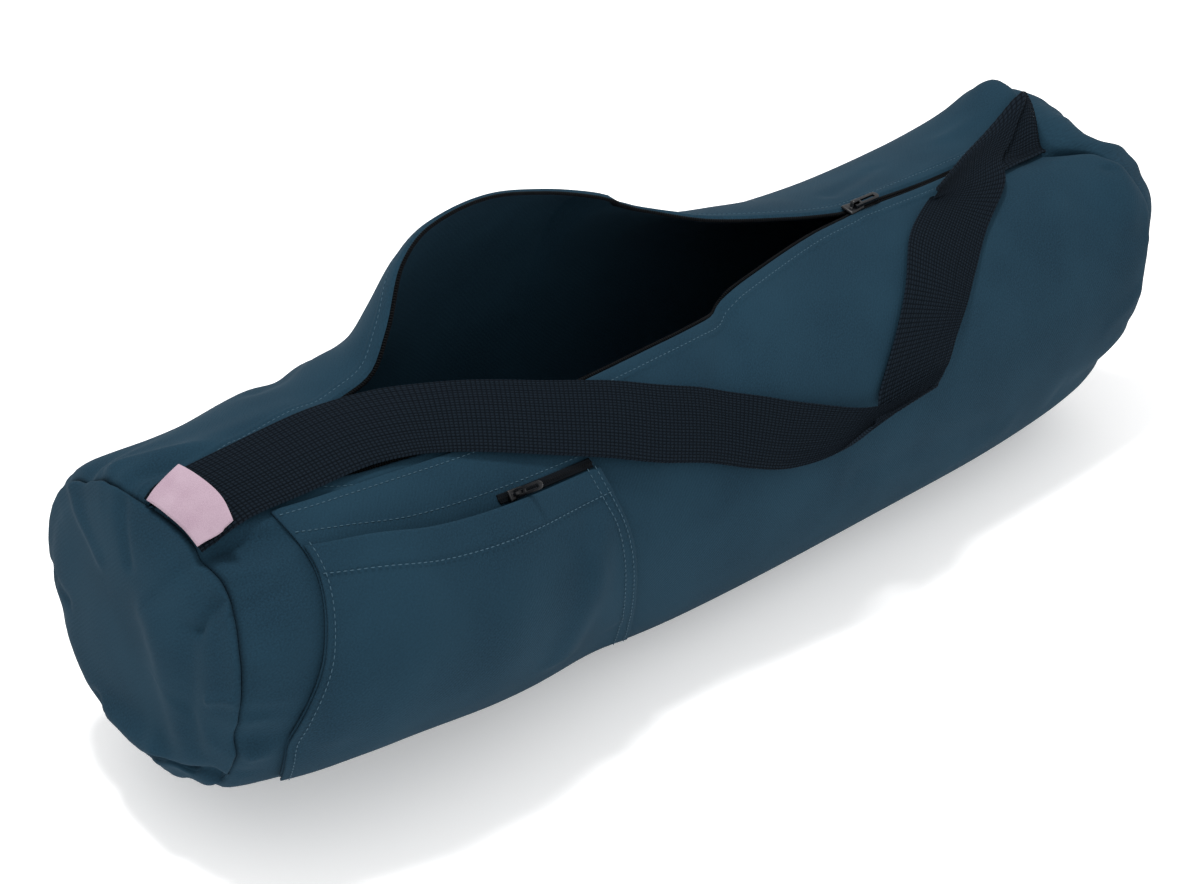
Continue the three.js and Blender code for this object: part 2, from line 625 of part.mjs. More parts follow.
const backLines = (across) => [
  read(pocketEdges, "across", "top", across),
  firstLine - lineStep / 2,
  ...pocketLines,
  read(pocketEdges, "across", "bottom", across),
];
const backGrid = [];
for (let i = 0; i <= pocketColumns; i += 1) {
  const across = i / pocketColumns;
  backGrid.push(backLines(across).map((round) =>
    placeOver(pocketAt(across, round), round, layerGap + pocketWall)));
}
addPiece("pocket_back", sheetSolid(backGrid, 0, pocketWall), cloth);

// A place over the pocket's back layer
function placeOverPocket(across, round, lift) {
  const lines = backLines(across);
  let j = 0;
  while (j < lines.length - 2 && lines[j + 1] < round) j += 1;
  j += (round - lines[j]) / (lines[j + 1] - lines[j]);
  const base = onFaces(backGrid, across * pocketColumns, j);
  const at = pocketAt(across, round);
  const normal = placeOver(at, round, 1).sub(placeOver(at, round, 0));
  return base.addScaledVector(normal, lift);
}

// The front panel is sewn to it at the sides and bottom and stands open at its mouth
function pocketLift(across, down) {
  const held = smoothStep(0, 0.28, across) * smoothStep(1, 0.5, across);
  return pocketGape * held * (1 - Math.pow(down, 3));
}

const frontGrid = [];
for (let i = 0; i <= pocketColumns; i += 1) {
  const across = i / pocketColumns;
  const mouthRound = read(pocketEdges, "across", "mouth", across);
  const lowLines = backLines(across).filter((line) => line > 59);
  const lines = [mouthRound, (mouthRound + lowLines[0]) / 2, ...lowLines];
  frontGrid.push(lines.map((round, j) =>
    placeOverPocket(across, round, layerGap + pocketWall + pocketLift(across, j / (lines.length - 1)))));
}
addPiece("pocket_front", sheetSolid(frontGrid, 0, pocketWall), cloth);

// The pocket's zip lies on the back layer, just above the mouth, from its slider to the right
const zipHalfDegrees = THREE.MathUtils.radToDeg(pocketZipWidth / bagHeight);
const zipClear = zipHalfDegrees + THREE.MathUtils.radToDeg((touchGap * 4) / bagHeight);

function pocketZipPlace(across, side, lift) {
  const round = read(pocketEdges, "across", "mouth", across) - zipClear + zipHalfDegrees * side;
  return placeOverPocket(across, round, lift);
}

const pocketZipTop = layerGap + pocketZipWall;
const pocketZipGrid = makeGrid(8, 1, (run, side) => {
  const across = THREE.MathUtils.lerp(pocketSliderAcross - 0.05, 0.985, run);
  return pocketZipPlace(across, side * 2 - 1, pocketZipTop);
});
addPiece("pocket_zip", sheetSolid(pocketZipGrid, 0, pocketZipWall), zipper);

// The small hard pieces are joined and cut as solids
const wasm = await Module();
wasm.setup();

function toManifold(geometry) {
  const bare = geometry.clone();
  bare.deleteAttribute("normal");
  bare.deleteAttribute("uv");
  const merged = mergeVertices(bare);
  const vertProperties = new Float32Array(merged.attributes.position.array);
  const triVerts = new Uint32Array(merged.index.array);
  return new wasm.Manifold(new wasm.Mesh({ numProp: 3, vertProperties, triVerts }));
}

function toGeometry(body) {
  const mesh = body.getMesh();
  const geometry = new THREE.BufferGeometry();
  geometry.setAttribute("position", new THREE.BufferAttribute(new Float32Array(mesh.vertProperties), 3));
  geometry.setIndex(new THREE.BufferAttribute(new Uint32Array(mesh.triVerts), 1));
  geometry.computeVertexNormals();
  return geometry;
}

// A slider: a tapered plate with a small bridge that holds the pull. Z is up off the zip.
function sliderSolid(length, headWidth, tailWidth, wall, bridge) {
  const plan = new THREE.Shape();
  plan.moveTo(-length / 2, -headWidth / 2);
  plan.lineTo(length / 2, -tailWidth / 2);
  plan.lineTo(length / 2, tailWidth / 2);
  plan.lineTo(-length / 2, headWidth / 2);
  const bevel = wall * 0.3;
  const plate = new THREE.ExtrudeGeometry(plan, {
    depth: wall - 2 * bevel, bevelThickness: bevel, bevelSize: bevel, bevelOffset: -bevel,
    bevelSegments: 1,
  });
  plate.translate(0, 0, bevel);
  const side = new THREE.Shape();
  side.moveTo(-bridge.length / 2, -wall / 2);
  side.lineTo(bridge.length / 2, -wall / 2);
  side.lineTo(bridge.length / 2, bridge.height - bridge.wall);
  side.lineTo(bridge.length / 2 - bridge.wall, bridge.height);
  side.lineTo(-bridge.length / 2 + bridge.wall, bridge.height);
  side.lineTo(-bridge.length / 2, bridge.height - bridge.wall);
  const eye = new THREE.Path();
  eye.moveTo(-bridge.length / 2 + bridge.wall, 0);
  eye.lineTo(-bridge.length / 2 + bridge.wall, bridge.height - bridge.wall);
  eye.lineTo(bridge.length / 2 - bridge.wall, bridge.height - bridge.wall);
  eye.lineTo(bridge.length / 2 - bridge.wall, 0);
  side.holes.push(eye);
  const arch = new THREE.ExtrudeGeometry(side, { depth: bridge.width, bevelEnabled: false });
  arch.rotateX(Math.PI / 2);
  arch.translate(0, bridge.width / 2, wall);
  return toGeometry(toManifold(plate).add(toManifold(arch)));
}

// A pull: a plate with a bar that runs through the bridge, at x = 0, and swings about it
function pullSolid(length, width, wall, bridge, slot) {
  const arm = bridge.length / 2 + touchGap * 2;
  const barHalf = wall / 2;
  const round = width / 2;
  const outline = new THREE.Shape();
  outline.moveTo(-barHalf, -width / 2);
  outline.lineTo(length - round, -width / 2);
  outline.absarc(length - round, 0, round, -Math.PI / 2, Math.PI / 2, false);
  outline.lineTo(-barHalf, width / 2);
  const window = new THREE.Path();
  const halfWindow = bridge.width / 2 + touchGap;
  window.moveTo(barHalf, -halfWindow);
  window.lineTo(barHalf, halfWindow);
  window.lineTo(arm, halfWindow);
  window.lineTo(arm, -halfWindow);
  outline.holes.push(window);
  if (slot > 0) {
    const grip = new THREE.Path();
    const from = arm + wall;
    const to = length - round;
    grip.moveTo(from, -slot / 2);
    grip.lineTo(from, slot / 2);
    grip.lineTo(to, slot / 2);
    grip.lineTo(to, -slot / 2);
    outline.holes.push(grip);
  }
  const options = { depth: wall, bevelEnabled: false, curveSegments: 6 };
  const geometry = new THREE.ExtrudeGeometry(outline, options);
  geometry.translate(0, 0, -wall / 2);
  return toGeometry(toManifold(geometry));
}

// A slider with its pull, set at a place on the bag and turned to its cloth
function addZipHead(names, place, round, plate, bridge, pull) {
  const head = new THREE.Group();
  head.position.copy(place);
  head.rotation.x = THREE.MathUtils.degToRad(round);
  group.add(head);
  addPiece(names.slider, sliderSolid(plate.length, plate.head, plate.tail, plate.wall, bridge),
    enamel, head);
  const swing = new THREE.Group();
  swing.position.z = plate.wall + touchGap * 1.5 + pull.wall / 2;
  swing.rotation.y = -THREE.MathUtils.degToRad(pull.lean);
  head.add(swing);
  addPiece(names.pull, pullSolid(pull.length, pull.width, pull.wall, bridge, pull.slot),
    enamel, swing);
}

// The bridge leaves the pull's bar free to turn inside it
function bridgeFor(pullThickness, width) {
  const wall = pullThickness * 0.7;
  const eyeHeight = pullThickness * 1.5 + touchGap * 2;
  const length = 2 * wall + pullThickness * 1.5 + 4 * touchGap;
  return { wall, width, length, height: eyeHeight + wall };
}

addZipHead(
  { slider: "zip_slider", pull: "zip_pull" },
  placeOver(sliderAt, zipAngle, touchGap * 1.5),
  zipAngle,
  { length: sliderLength, head: sliderWidth, tail: sliderTail, wall: sliderWall },
  bridgeFor(pullWall, pullWidth * 0.4),
  { length: pullLength, width: pullWidth, wall: pullWall, lean: 0, slot: pullWidth * 0.35 },
);

addZipHead(
  { slider: "pocket_slider", pull: "pocket_pull" },
  pocketZipPlace(pocketSliderAcross, 0, pocketZipTop + touchGap * 2),
  read(pocketEdges, "across", "mouth", pocketSliderAcross) - zipClear,
  {
    length: pocketSliderLength,
    head: pocketSliderWidth,
    tail: pocketSliderWidth * 0.8,
    wall: pocketSliderWall,
  },
  bridgeFor(pocketPullWall, pocketPullWidth * 0.36),
  {
    length: pocketPullLength,
    width: pocketPullWidth,
    wall: pocketPullWall,
    lean: pocketPullLean,
    slot: pocketPullWidth * 0.35,
  },
);

export default group;
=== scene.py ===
import math

import bmesh
import bpy
import numpy as np
from mathutils import Matrix, Vector


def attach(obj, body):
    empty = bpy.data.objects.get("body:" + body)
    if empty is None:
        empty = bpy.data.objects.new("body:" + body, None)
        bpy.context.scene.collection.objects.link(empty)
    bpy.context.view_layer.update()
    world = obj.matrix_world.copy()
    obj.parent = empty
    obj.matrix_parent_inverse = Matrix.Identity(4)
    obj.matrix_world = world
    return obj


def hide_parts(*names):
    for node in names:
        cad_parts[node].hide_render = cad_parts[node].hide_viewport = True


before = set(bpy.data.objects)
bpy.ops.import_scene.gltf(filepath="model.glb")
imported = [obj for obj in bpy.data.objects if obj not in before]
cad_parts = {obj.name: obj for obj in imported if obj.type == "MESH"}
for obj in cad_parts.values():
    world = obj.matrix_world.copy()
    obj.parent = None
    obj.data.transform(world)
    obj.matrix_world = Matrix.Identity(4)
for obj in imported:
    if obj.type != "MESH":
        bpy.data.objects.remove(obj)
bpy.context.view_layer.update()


# Small helpers for meshes
def smoothStep(low, high, value):
    t = np.clip((value - low) / (high - low), 0, 1)
    return t * t * (3 - 2 * t)


def namedRows(columns, rows):   # a table as one dictionary for each row
    return [dict(zip(columns, row)) for row in rows]


def mix(a, b, share):
    return a + (b - a) * share


def easeEnds(count, keep):   # shares from 0 to 1 that stand closer together at both ends
    even = np.linspace(0, 1, count + 1)
    return keep * even + (1 - keep) * 0.5 * (1 - np.cos(np.pi * even))


def wrapDegrees(rounds):
    return (np.asarray(rounds, float) + 180) % 360 - 180


def bumpAt(value, centre, wide):   # a smooth bump, 1 at its centre
    return np.exp(-((value - centre) / wide) ** 2)


def fromLine(x, y, runX, runY):   # distance from a straight line out of 0, 0, and share along it
    share = np.clip((x * runX + y * runY) / (runX ** 2 + runY ** 2), 0, 1)
    return np.hypot(x - share * runX, y - share * runY), share


def unit(vectors):
    return vectors / np.maximum(np.linalg.norm(vectors, axis=-1, keepdims=True), 1e-12)


def readTable(table, by, column, value):   # a smooth curve through one column of a table
    x = np.array([row[by] for row in table], float)
    y = np.array([row[column] for row in table], float)
    slope = np.empty_like(y)
    slope[1:-1] = (y[2:] - y[:-2]) / (x[2:] - x[:-2])
    slope[0] = (y[1] - y[0]) / (x[1] - x[0])
    slope[-1] = (y[-1] - y[-2]) / (x[-1] - x[-2])
    value = np.clip(value, x[0], x[-1])
    i = np.clip(np.searchsorted(x, value, side="left") - 1, 0, len(x) - 2)
    span = x[i + 1] - x[i]
    t = (value - x[i]) / span
    rise = t * t * (3 - 2 * t)
    bend = t * (1 - t) ** 2 * span * slope[i] + t * t * (t - 1) * span * slope[i + 1]
    return y[i] * (1 - rise) + y[i + 1] * rise + bend


def gridNormals(points):   # outward where rows run along +X and columns run down the front
    along = np.gradient(points, axis=0)
    across = np.gradient(points, axis=1)
    return unit(np.cross(across, along))


def placeObject(name, data):
    placed = bpy.data.objects.new(name, data)
    bpy.context.scene.collection.objects.link(placed)
    return placed


def plainPiece(name, source):   # what the source's modifiers make of it, as a plain mesh
    bpy.context.view_layer.update()
    shown = source.evaluated_get(bpy.context.evaluated_depsgraph_get())
    mesh = bpy.data.meshes.new_from_object(shown)
    bpy.data.objects.remove(source)
    mesh.name = name
    return placeObject(name, mesh)


def makePiece(name, vertices, faces, material, uvs=None):
    mesh = bpy.data.meshes.new(name)
    mesh.from_pydata(np.asarray(vertices).tolist(), [], list(faces))
    mesh.polygons.foreach_set("use_smooth", [True] * len(mesh.polygons))
    if uvs is not None:
        corners = np.empty(len(mesh.loops), np.int32)
        mesh.loops.foreach_get("vertex_index", corners)
        layer = mesh.uv_layers.new(name="cloth")
        layer.data.foreach_set("uv", np.asarray(uvs, np.float32)[corners].ravel())
    mesh.materials.append(material)
    return placeObject(name, mesh)


def sheetPiece(name, points, above, below, material, uvs):   # a grid of points given a thickness
    rows, columns = points.shape[:2]
    normals = gridNormals(points)
    above = np.broadcast_to(above, (rows, columns))[..., None]
    below = np.broadcast_to(below, (rows, columns))[..., None]
    vertices = np.concatenate([(points + normals * above).reshape(-1, 3),
                               (points - normals * below).reshape(-1, 3)])
    upper = np.arange(rows * columns).reshape(rows, columns)
    lower = upper + rows * columns

    def quads(a, b, c, d):
        return np.stack([a, b, c, d], axis=-1).reshape(-1, 4)

    faces = np.concatenate([
        quads(upper[:-1, :-1], upper[:-1, 1:], upper[1:, 1:], upper[1:, :-1]),
        quads(lower[:-1, :-1], lower[1:, :-1], lower[1:, 1:], lower[:-1, 1:]),
        quads(upper[:-1, 0], upper[1:, 0], lower[1:, 0], lower[:-1, 0]),
        quads(upper[:-1, -1], lower[:-1, -1], lower[1:, -1], upper[1:, -1]),
        quads(upper[0, :-1], lower[0, :-1], lower[0, 1:], upper[0, 1:]),
        quads(upper[-1, :-1], upper[-1, 1:], lower[-1, 1:], lower[-1, :-1]),
    ])
    flat = uvs.reshape(-1, 2)
    return makePiece(name, vertices, faces, material, np.concatenate([flat, flat]))


def clothUvs(points):   # millimetres along and across the cloth
    along = np.linalg.norm(np.diff(points, axis=0), axis=-1).mean(axis=1)
    across = np.linalg.norm(np.diff(points, axis=1), axis=-1).mean(axis=0)
    u = np.concatenate([[0], np.cumsum(along)])
    v = np.concatenate([[0], np.cumsum(across)])
    grid = np.stack(np.meshgrid(u, v, indexing="ij"), axis=-1)
    return grid * 1000


def roundedEdge(distance, radius):   # share of the full thickness near a folded edge
    inside = np.clip(1 - distance / radius, 0, 1)
    return np.sqrt(np.maximum(1 - inside ** 2, 0.0))


# Materials
def linearColour(hexColour):
    parts = [int(hexColour[i:i + 2], 16) / 255 for i in (1, 3, 5)]
    return [c / 12.92 if c <= 0.04045 else ((c + 0.055) / 1.055) ** 2.4 for c in parts] + [1]


def addNode(tree, kind, settings=None, inputs=None):   # one node, its settings and its links
    node = tree.nodes.new(kind)
    for name, value in (settings or {}).items():
        setattr(node, name, value)
    for name, value in (inputs or {}).items():
        if isinstance(value, bpy.types.NodeSocket):
            tree.links.new(value, node.inputs[name])
        else:
            node.inputs[name].default_value = value
    return node


def startMaterial(name):
    material = bpy.data.materials.new(name)
    material.use_nodes = True
    tree = material.node_tree
    tree.nodes.clear()
    output = addNode(tree, "ShaderNodeOutputMaterial")
    shader = addNode(tree, "ShaderNodeBsdfPrincipled")
    tree.links.new(shader.outputs["BSDF"], output.inputs["Surface"])
    return material, tree, shader


def finishCloth(tree, shader, look, colour, height):   # relief, gloss and loose fibres of a cloth
    bump = addNode(tree, "ShaderNodeBump", None,
                   {"Height": height, "Strength": look["bumpStrength"],
                    "Distance": look["ribDepth"] / 1000})
    tree.links.new(colour, shader.inputs["Base Color"])
    tree.links.new(bump.outputs["Normal"], shader.inputs["Normal"])
    shader.inputs["Roughness"].default_value = look["roughness"]
    shader.inputs["Specular IOR Level"].default_value = look["specular"]
    shader.inputs["Sheen Weight"].default_value = look["sheen"]
    shader.inputs["Sheen Roughness"].default_value = 0.5
    shader.inputs["Sheen Tint"].default_value = linearColour(look["sheenColour"])


def clothMaterial(name, look):
    # Threads lie in fine ribs, fibres scatter light at grazing angles, dye is a little uneven
    material, tree, shader = startMaterial(name)
    uv = addNode(tree, "ShaderNodeUVMap", {"uv_map": "cloth"}).outputs["UV"]
    place = addNode(tree, "ShaderNodeTexCoord").outputs["Object"]
    ribs = addNode(tree, "ShaderNodeTexWave", {"bands_direction": look["ribDirection"]},
                   {"Vector": uv, "Scale": math.pi / (10 * look["ribPitch"]),
                    "Distortion": 1.2, "Detail": 2.0, "Detail Scale": 1.5})
    threads = addNode(tree, "ShaderNodeTexNoise", None,
                      {"Vector": uv, "Scale": 1 / look["threadGrain"], "Detail": 2.0})
    dye = addNode(tree, "ShaderNodeTexNoise", None,
                  {"Vector": place, "Scale": 1000 / look["dyePatch"], "Detail": 3.0})
    grainMix = addNode(tree, "ShaderNodeMapRange", None,
                       {"Value": threads.outputs["Fac"], "From Min": 0.3, "From Max": 0.7,
                        "To Min": 0.0, "To Max": 1.0})
    base = addNode(tree, "ShaderNodeMix", {"data_type": "RGBA"},
                   {0: grainMix.outputs["Result"], 6: linearColour(look["shadeColour"]),
                    7: linearColour(look["colour"])})
    dyeMix = addNode(tree, "ShaderNodeMapRange", None,
                     {"Value": dye.outputs["Fac"], "From Min": 0.35, "From Max": 0.65,
                      "To Min": 0.0, "To Max": look["dyeShare"]})
    dyed = addNode(tree, "ShaderNodeMix", {"data_type": "RGBA"},
                   {0: dyeMix.outputs["Result"], 6: base.outputs[2],
                    7: linearColour(look["wornColour"])})
    height = addNode(tree, "ShaderNodeMath", {"operation": "MULTIPLY_ADD"},
                     {0: threads.outputs["Fac"], 1: 0.6, 2: ribs.outputs["Fac"]})
    finishCloth(tree, shader, look, dyed.outputs[2], height.outputs["Value"])
    return material


def weaveMaterial(name, look):
    # Thick cords cross over and under, so light catches a small crown on each one. Besides the
    # bump, the colour is painted lighter on each crown as a painted highlight and darker in the
    # dips between cords as painted shade
    material, tree, shader = startMaterial(name)
    uv = addNode(tree, "ShaderNodeUVMap", {"uv_map": "cloth"}).outputs["UV"]
    parts = addNode(tree, "ShaderNodeSeparateXYZ", None, {"Vector": uv})
    waves = []
    for axis, pitch in (("X", look["pitchAlong"]), ("Y", look["pitchAcross"])):
        angle = addNode(tree, "ShaderNodeMath", {"operation": "MULTIPLY"},
                        {0: parts.outputs[axis], 1: math.pi / pitch})
        waves.append(addNode(tree, "ShaderNodeMath", {"operation": "SINE"},
                             {0: angle.outputs["Value"]}))
    crossing = addNode(tree, "ShaderNodeMath", {"operation": "MULTIPLY"},
                       {0: waves[0].outputs["Value"], 1: waves[1].outputs["Value"]})
    crown = addNode(tree, "ShaderNodeMath", {"operation": "ABSOLUTE"},
                    {0: crossing.outputs["Value"]})
    fuzz = addNode(tree, "ShaderNodeTexNoise", None,
                   {"Vector": uv, "Scale": 1 / look["threadGrain"], "Detail": 3.0})
    height = addNode(tree, "ShaderNodeMath", {"operation": "MULTIPLY_ADD"},
                     {0: fuzz.outputs["Fac"], 1: 0.5, 2: crown.outputs["Value"]})
    # Painted highlight and painted shade: the crown height picks between the lit colour of the
    # crowns and the shaded colour of the dips
    shade = addNode(tree, "ShaderNodeMapRange", None,
                    {"Value": height.outputs["Value"], "From Min": 0.1, "From Max": 0.9})
    base = addNode(tree, "ShaderNodeMix", {"data_type": "RGBA"},
                   {0: shade.outputs["Result"], 6: linearColour(look["shadeColour"]),
                    7: linearColour(look["colour"])})
    finishCloth(tree, shader, look, base.outputs[2], height.outputs["Value"])
    return material


def hardMaterial(name, look):
    # A moulded or coated surface: even colour, small unevenness in its gloss
    material, tree, shader = startMaterial(name)
    place = addNode(tree, "ShaderNodeTexCoord").outputs["Object"]
    wear = addNode(tree, "ShaderNodeTexNoise", None,
                   {"Vector": place, "Scale": 1000 / look["wearPatch"], "Detail": 4.0})
    gloss = addNode(tree, "ShaderNodeMapRange", None,
                    {"Value": wear.outputs["Fac"], "From Min": 0.3, "From Max": 0.7,
                     "To Min": look["roughness"] - 0.07, "To Max": look["roughness"] + 0.1})
    bump = addNode(tree, "ShaderNodeBump", None,
                   {"Height": wear.outputs["Fac"], "Strength": 0.25,
                    "Distance": look["relief"] / 1000})
    tree.links.new(gloss.outputs["Result"], shader.inputs["Roughness"])
    tree.links.new(bump.outputs["Normal"], shader.inputs["Normal"])
    shader.inputs["Base Color"].default_value = linearColour(look["colour"])
    shader.inputs["Metallic"].default_value = look["metallic"]
    shader.inputs["Specular IOR Level"].default_value = look["specular"]
    return material


# Twill lines are about 0.5 mm apart on the real cloth, drawn at 1.3 mm so that they show
twillLook = {"colour": "#1b3443", "shadeColour": "#142834", "wornColour": "#213c4b",
             "ribDirection": "DIAGONAL", "ribPitch": 1.3, "ribDepth": 0.18, "threadGrain": 0.9,
             "dyePatch": 55, "dyeShare": 0.35, "roughness": 0.93, "specular": 0.08,
             "sheen": 0.04, "sheenColour": "#6f8ca0", "bumpStrength": 0.3}
# In the webbing's look, colour is the painted lit colour of the cords' crowns and shadeColour the
# painted shade in the dips between them
webbingLook = {"colour": "#171f27", "shadeColour": "#05070a", "pitchAlong": 2.4,
               "pitchAcross": 2.1, "ribDepth": 0.7, "threadGrain": 0.5, "roughness": 0.95,
               "specular": 0.03, "sheen": 0.015, "sheenColour": "#5b6872", "bumpStrength": 1.0}
labelLook = {"colour": "#a992a0", "shadeColour": "#97808e", "wornColour": "#b4a0ac",
             "ribDirection": "X", "ribPitch": 0.7, "ribDepth": 0.08, "threadGrain": 0.5,
             "dyePatch": 14, "dyeShare": 0.4, "roughness": 0.7, "specular": 0.08,
             "sheen": 0.15, "sheenColour": "#ffffff", "bumpStrength": 0.5}
tapeLook = {"colour": "#0c1116", "shadeColour": "#07090c", "wornColour": "#11161b",
            "ribDirection": "Y", "ribPitch": 1.0, "ribDepth": 0.12, "threadGrain": 0.6,
            "dyePatch": 20, "dyeShare": 0.3, "roughness": 0.9, "specular": 0.08,
            "sheen": 0.02, "sheenColour": "#4d5a66", "bumpStrength": 0.6}
coilLook = {"colour": "#05070a", "roughness": 0.78, "metallic": 0.0, "specular": 0.12,
            "wearPatch": 6, "relief": 0.03}
enamelLook = {"colour": "#0b0d11", "roughness": 0.36, "metallic": 0.0, "specular": 0.35,
              "wearPatch": 3, "relief": 0.02}
threadLook = {"colour": "#34505f", "roughness": 0.7, "metallic": 0.0, "specular": 0.3,
              "wearPatch": 2, "relief": 0.05}
cottonTwill = clothMaterial("cottonTwill", twillLook)
cottonWebbing = weaveMaterial("cottonWebbing", webbingLook)
satinLabel = clothMaterial("satinLabel", labelLook)
polyesterTape = clothMaterial("polyesterTape", tapeLook)
nylonCoil = hardMaterial("nylonCoil", coilLook)
blackEnamel = hardMaterial("blackEnamel", enamelLook)
slateThread = hardMaterial("slateThread", threadLook)
print("materials ready")

# The bag's form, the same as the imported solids' but fine enough for its folds
bag = {
    "length": 0.650, "width": 0.198, "height": 0.190, "wall": 0.0015,
    "topRoundness": 2.05, "baseRoundness": 2.25, "baseTurn": (0.2, -0.6),
    "farPanelLag": 0.084, "farPanelSwing": (265, 352), "drawFrom": 0.55,
    "zipAngle": 10, "zipSlot": 0.0042, "closedZip": 0.186,
    "alongSteps": 180, "alongEven": 0.5, "roundSteps": 256, "roundEven": 0.42,
    "hemWidth": 0.009, "hemRise": 0.0007, "hemStitch": 0.72, "foldRadius": 0.0016,
    "grooveDeep": 0.0004, "grooveWide": 0.0009, "rollDeep": 0.0018, "rollWide": 0.0022,
}
halfLength = bag["length"] / 2
openLength = bag["length"] - bag["closedZip"]
girth = math.pi * (bag["width"] + bag["height"]) / 2
stitchLine = bag["hemWidth"] * bag["hemStitch"]   # from the folded edge to its row of stitches

# Shares of the half length, of bag width and of bag height
sections = namedRows(("at", "wide", "top", "base"), (
    (-1.0, 0.845, 0.965, 0.160), (-0.985, 0.880, 0.985, 0.145), (-0.95, 0.915, 0.995, 0.125),
    (-0.85, 0.955, 1.000, 0.075), (-0.72, 0.980, 1.005, 0.035), (-0.55, 1.000, 1.005, -0.010),
    (-0.33, 1.000, 0.995, -0.025), (0.0, 1.010, 0.990, -0.035), (0.4, 1.005, 0.985, -0.035),
    (0.62, 1.000, 0.975, -0.030), (0.8, 0.985, 0.975, -0.010), (0.92, 0.965, 0.985, 0.018),
    (0.975, 0.935, 0.985, 0.045), (1.0, 0.895, 0.965, 0.070)))

# How far each end seam is drawn along the bag, as a share of its length
seamDraw = namedRows(("round", "left", "right"), (
    (-180, 0.0, 0.0), (-90, 0.004, 0.0), (-40, 0.0, 0.004), (-6, -0.004, -0.008),
    (18, 0.004, -0.036), (30, 0.008, 0.004), (52, 0.010, 0.026), (74, 0.0, 0.015),
    (96, -0.006, 0.006), (130, -0.004, -0.012), (180, 0.0, 0.0)))

# The open zip: share of its open stretch, degrees off the zip line, rise and shift of the far edge
mouth = namedRows(("along", "near", "far", "rise", "back"), (
    (0.070, 0, 0, 0.0, 0.0), (0.154, 17, 3, 0.0, 0.0), (0.252, 21, 7, 0.0, 0.0),
    (0.294, 21, 9, 0.02, 0.0), (0.329, 21, 14, 0.10, 0.0), (0.371, 20, 20, 0.22, 0.02),
    (0.420, 20, 24, 0.29, 0.03), (0.504, 19, 26, 0.31, 0.04), (0.588, 18, 26, 0.265, 0.04),
    (0.665, 17, 25, 0.20, 0.03), (0.704, 15.5, 23, 0.155, 0.02), (0.728, 12, 21, 0.125, 0.015),
    (0.805, 7.5, 14, 0.06, 0.0), (0.910, 2.5, 5, 0.02, 0.0), (0.981, 0.8, 1.0, 0.0, 0.0),
    (1.0, 0, 0, 0.0, 0.0)))

# Broad dents: out is a share of bag height, long of the half length, wide is in degrees
dents = namedRows(("at", "round", "out", "long", "wide"), (
    (-0.60, -30, 0.010, 0.18, 22), (-0.82, -45, -0.032, 0.20, 36), (0.975, -16, 0.085, 0.095, 17),
    (0.96, 17, -0.055, 0.10, 10), (0.97, 50, 0.030, 0.08, 18), (0.55, -24, -0.044, 0.30, 30),
    (-0.33, 120, -0.022, 0.10, 22), (-0.64, 122, -0.036, 0.36, 34), (-0.93, 70, 0.016, 0.05, 26)))

# Folds as straight lines over the cloth, deep and wide as shares of bag height
folds = namedRows(("at", "round", "toAt", "toRound", "deep", "wide"), (
    (-0.98, -4, -0.72, -2, 0.016, 0.055), (-0.98, -30, -0.80, -38, -0.018, 0.055),
    (-0.98, 38, -0.94, 42, -0.026, 0.060), (-0.98, 100, -0.945, 104, -0.024, 0.060),
    (-0.98, 150, -0.80, 150, -0.022, 0.070), (-0.98, -110, -0.78, -104, -0.024, 0.065),
    (0.03, 30, -0.08, 58, -0.018, 0.075), (-0.60, -60, -0.68, -2, -0.024, 0.070),
    (0.98, 30, 0.86, 44, -0.022, 0.060), (0.98, 118, 0.80, 112, -0.022, 0.065),
    (0.98, -75, 0.74, -66, -0.024, 0.070), (0.98, -130, 0.80, -128, -0.022, 0.070)))

# Finer folds that only the fine mesh carries
fineFolds = namedRows(("at", "round", "toAt", "toRound", "deep", "wide"), (
    (-0.985, -14.6, -0.85, 2.7, 0.014, 0.030), (-0.985, -3, -0.88, 10, -0.009, 0.028),
    (-0.985, 36, -0.90, 40, -0.022, 0.026), (-0.98, 47, -0.93, 49, 0.014, 0.026),
    (-0.985, 58, -0.93, 56, -0.014, 0.022), (-0.985, 74, -0.95, 76, 0.010, 0.022),
    (-0.985, 90, -0.93, 92, -0.014, 0.024), (-0.985, 108, -0.92, 104, 0.012, 0.026),
    (0.035, 25.4, -0.075, 47.4, -0.008, 0.032), (0.07, 26, 0.02, 44, 0.006, 0.030),
    (-0.42, 126, -0.365, 85, 0.016, 0.034), (-0.375, 125, -0.335, 92, -0.016, 0.030),
    (-0.62, 118, -0.50, 108, 0.009, 0.040), (-0.84, 112, -0.70, 120, -0.010, 0.040),
    (0.955, 39, 0.95, 40, -0.016, 0.022), (0.99, 30, 0.93, 27, 0.014, 0.030),
    (0.97, 66, 0.90, 63, -0.008, 0.030), (0.97, 88, 0.88, 92, 0.008, 0.034),
    (1.0, 47, 0.965, 60, -0.024, 0.055),
    (0.50, 8, 0.72, 2, 0.007, 0.030), (0.46, -6, 0.62, -16, -0.010, 0.036),
    (0.80, -12, 0.93, -6, 0.008, 0.032), (-0.70, -26, -0.52, -40, -0.010, 0.040),
    (0.20, 96, 0.55, 104, -0.006, 0.045), (0.62, 112, 0.40, 122, 0.006, 0.050)))


def foldRelief(table, at, rounds):
    out = np.zeros(np.broadcast(at, rounds).shape)
    for fold in table:
        away, share = fromLine((at - fold["at"]) * halfLength,
                               wrapDegrees(rounds - fold["round"]) / 360 * girth,
                               (fold["toAt"] - fold["at"]) * halfLength,
                               wrapDegrees(fold["toRound"] - fold["round"]) / 360 * girth)
        out = out + fold["deep"] * bumpAt(away, 0, fold["wide"] * bag["height"]) * (1 - share / 2)
    return out


# Puckers that the end seams draw into the cloth beside them
rng = np.random.default_rng(7)


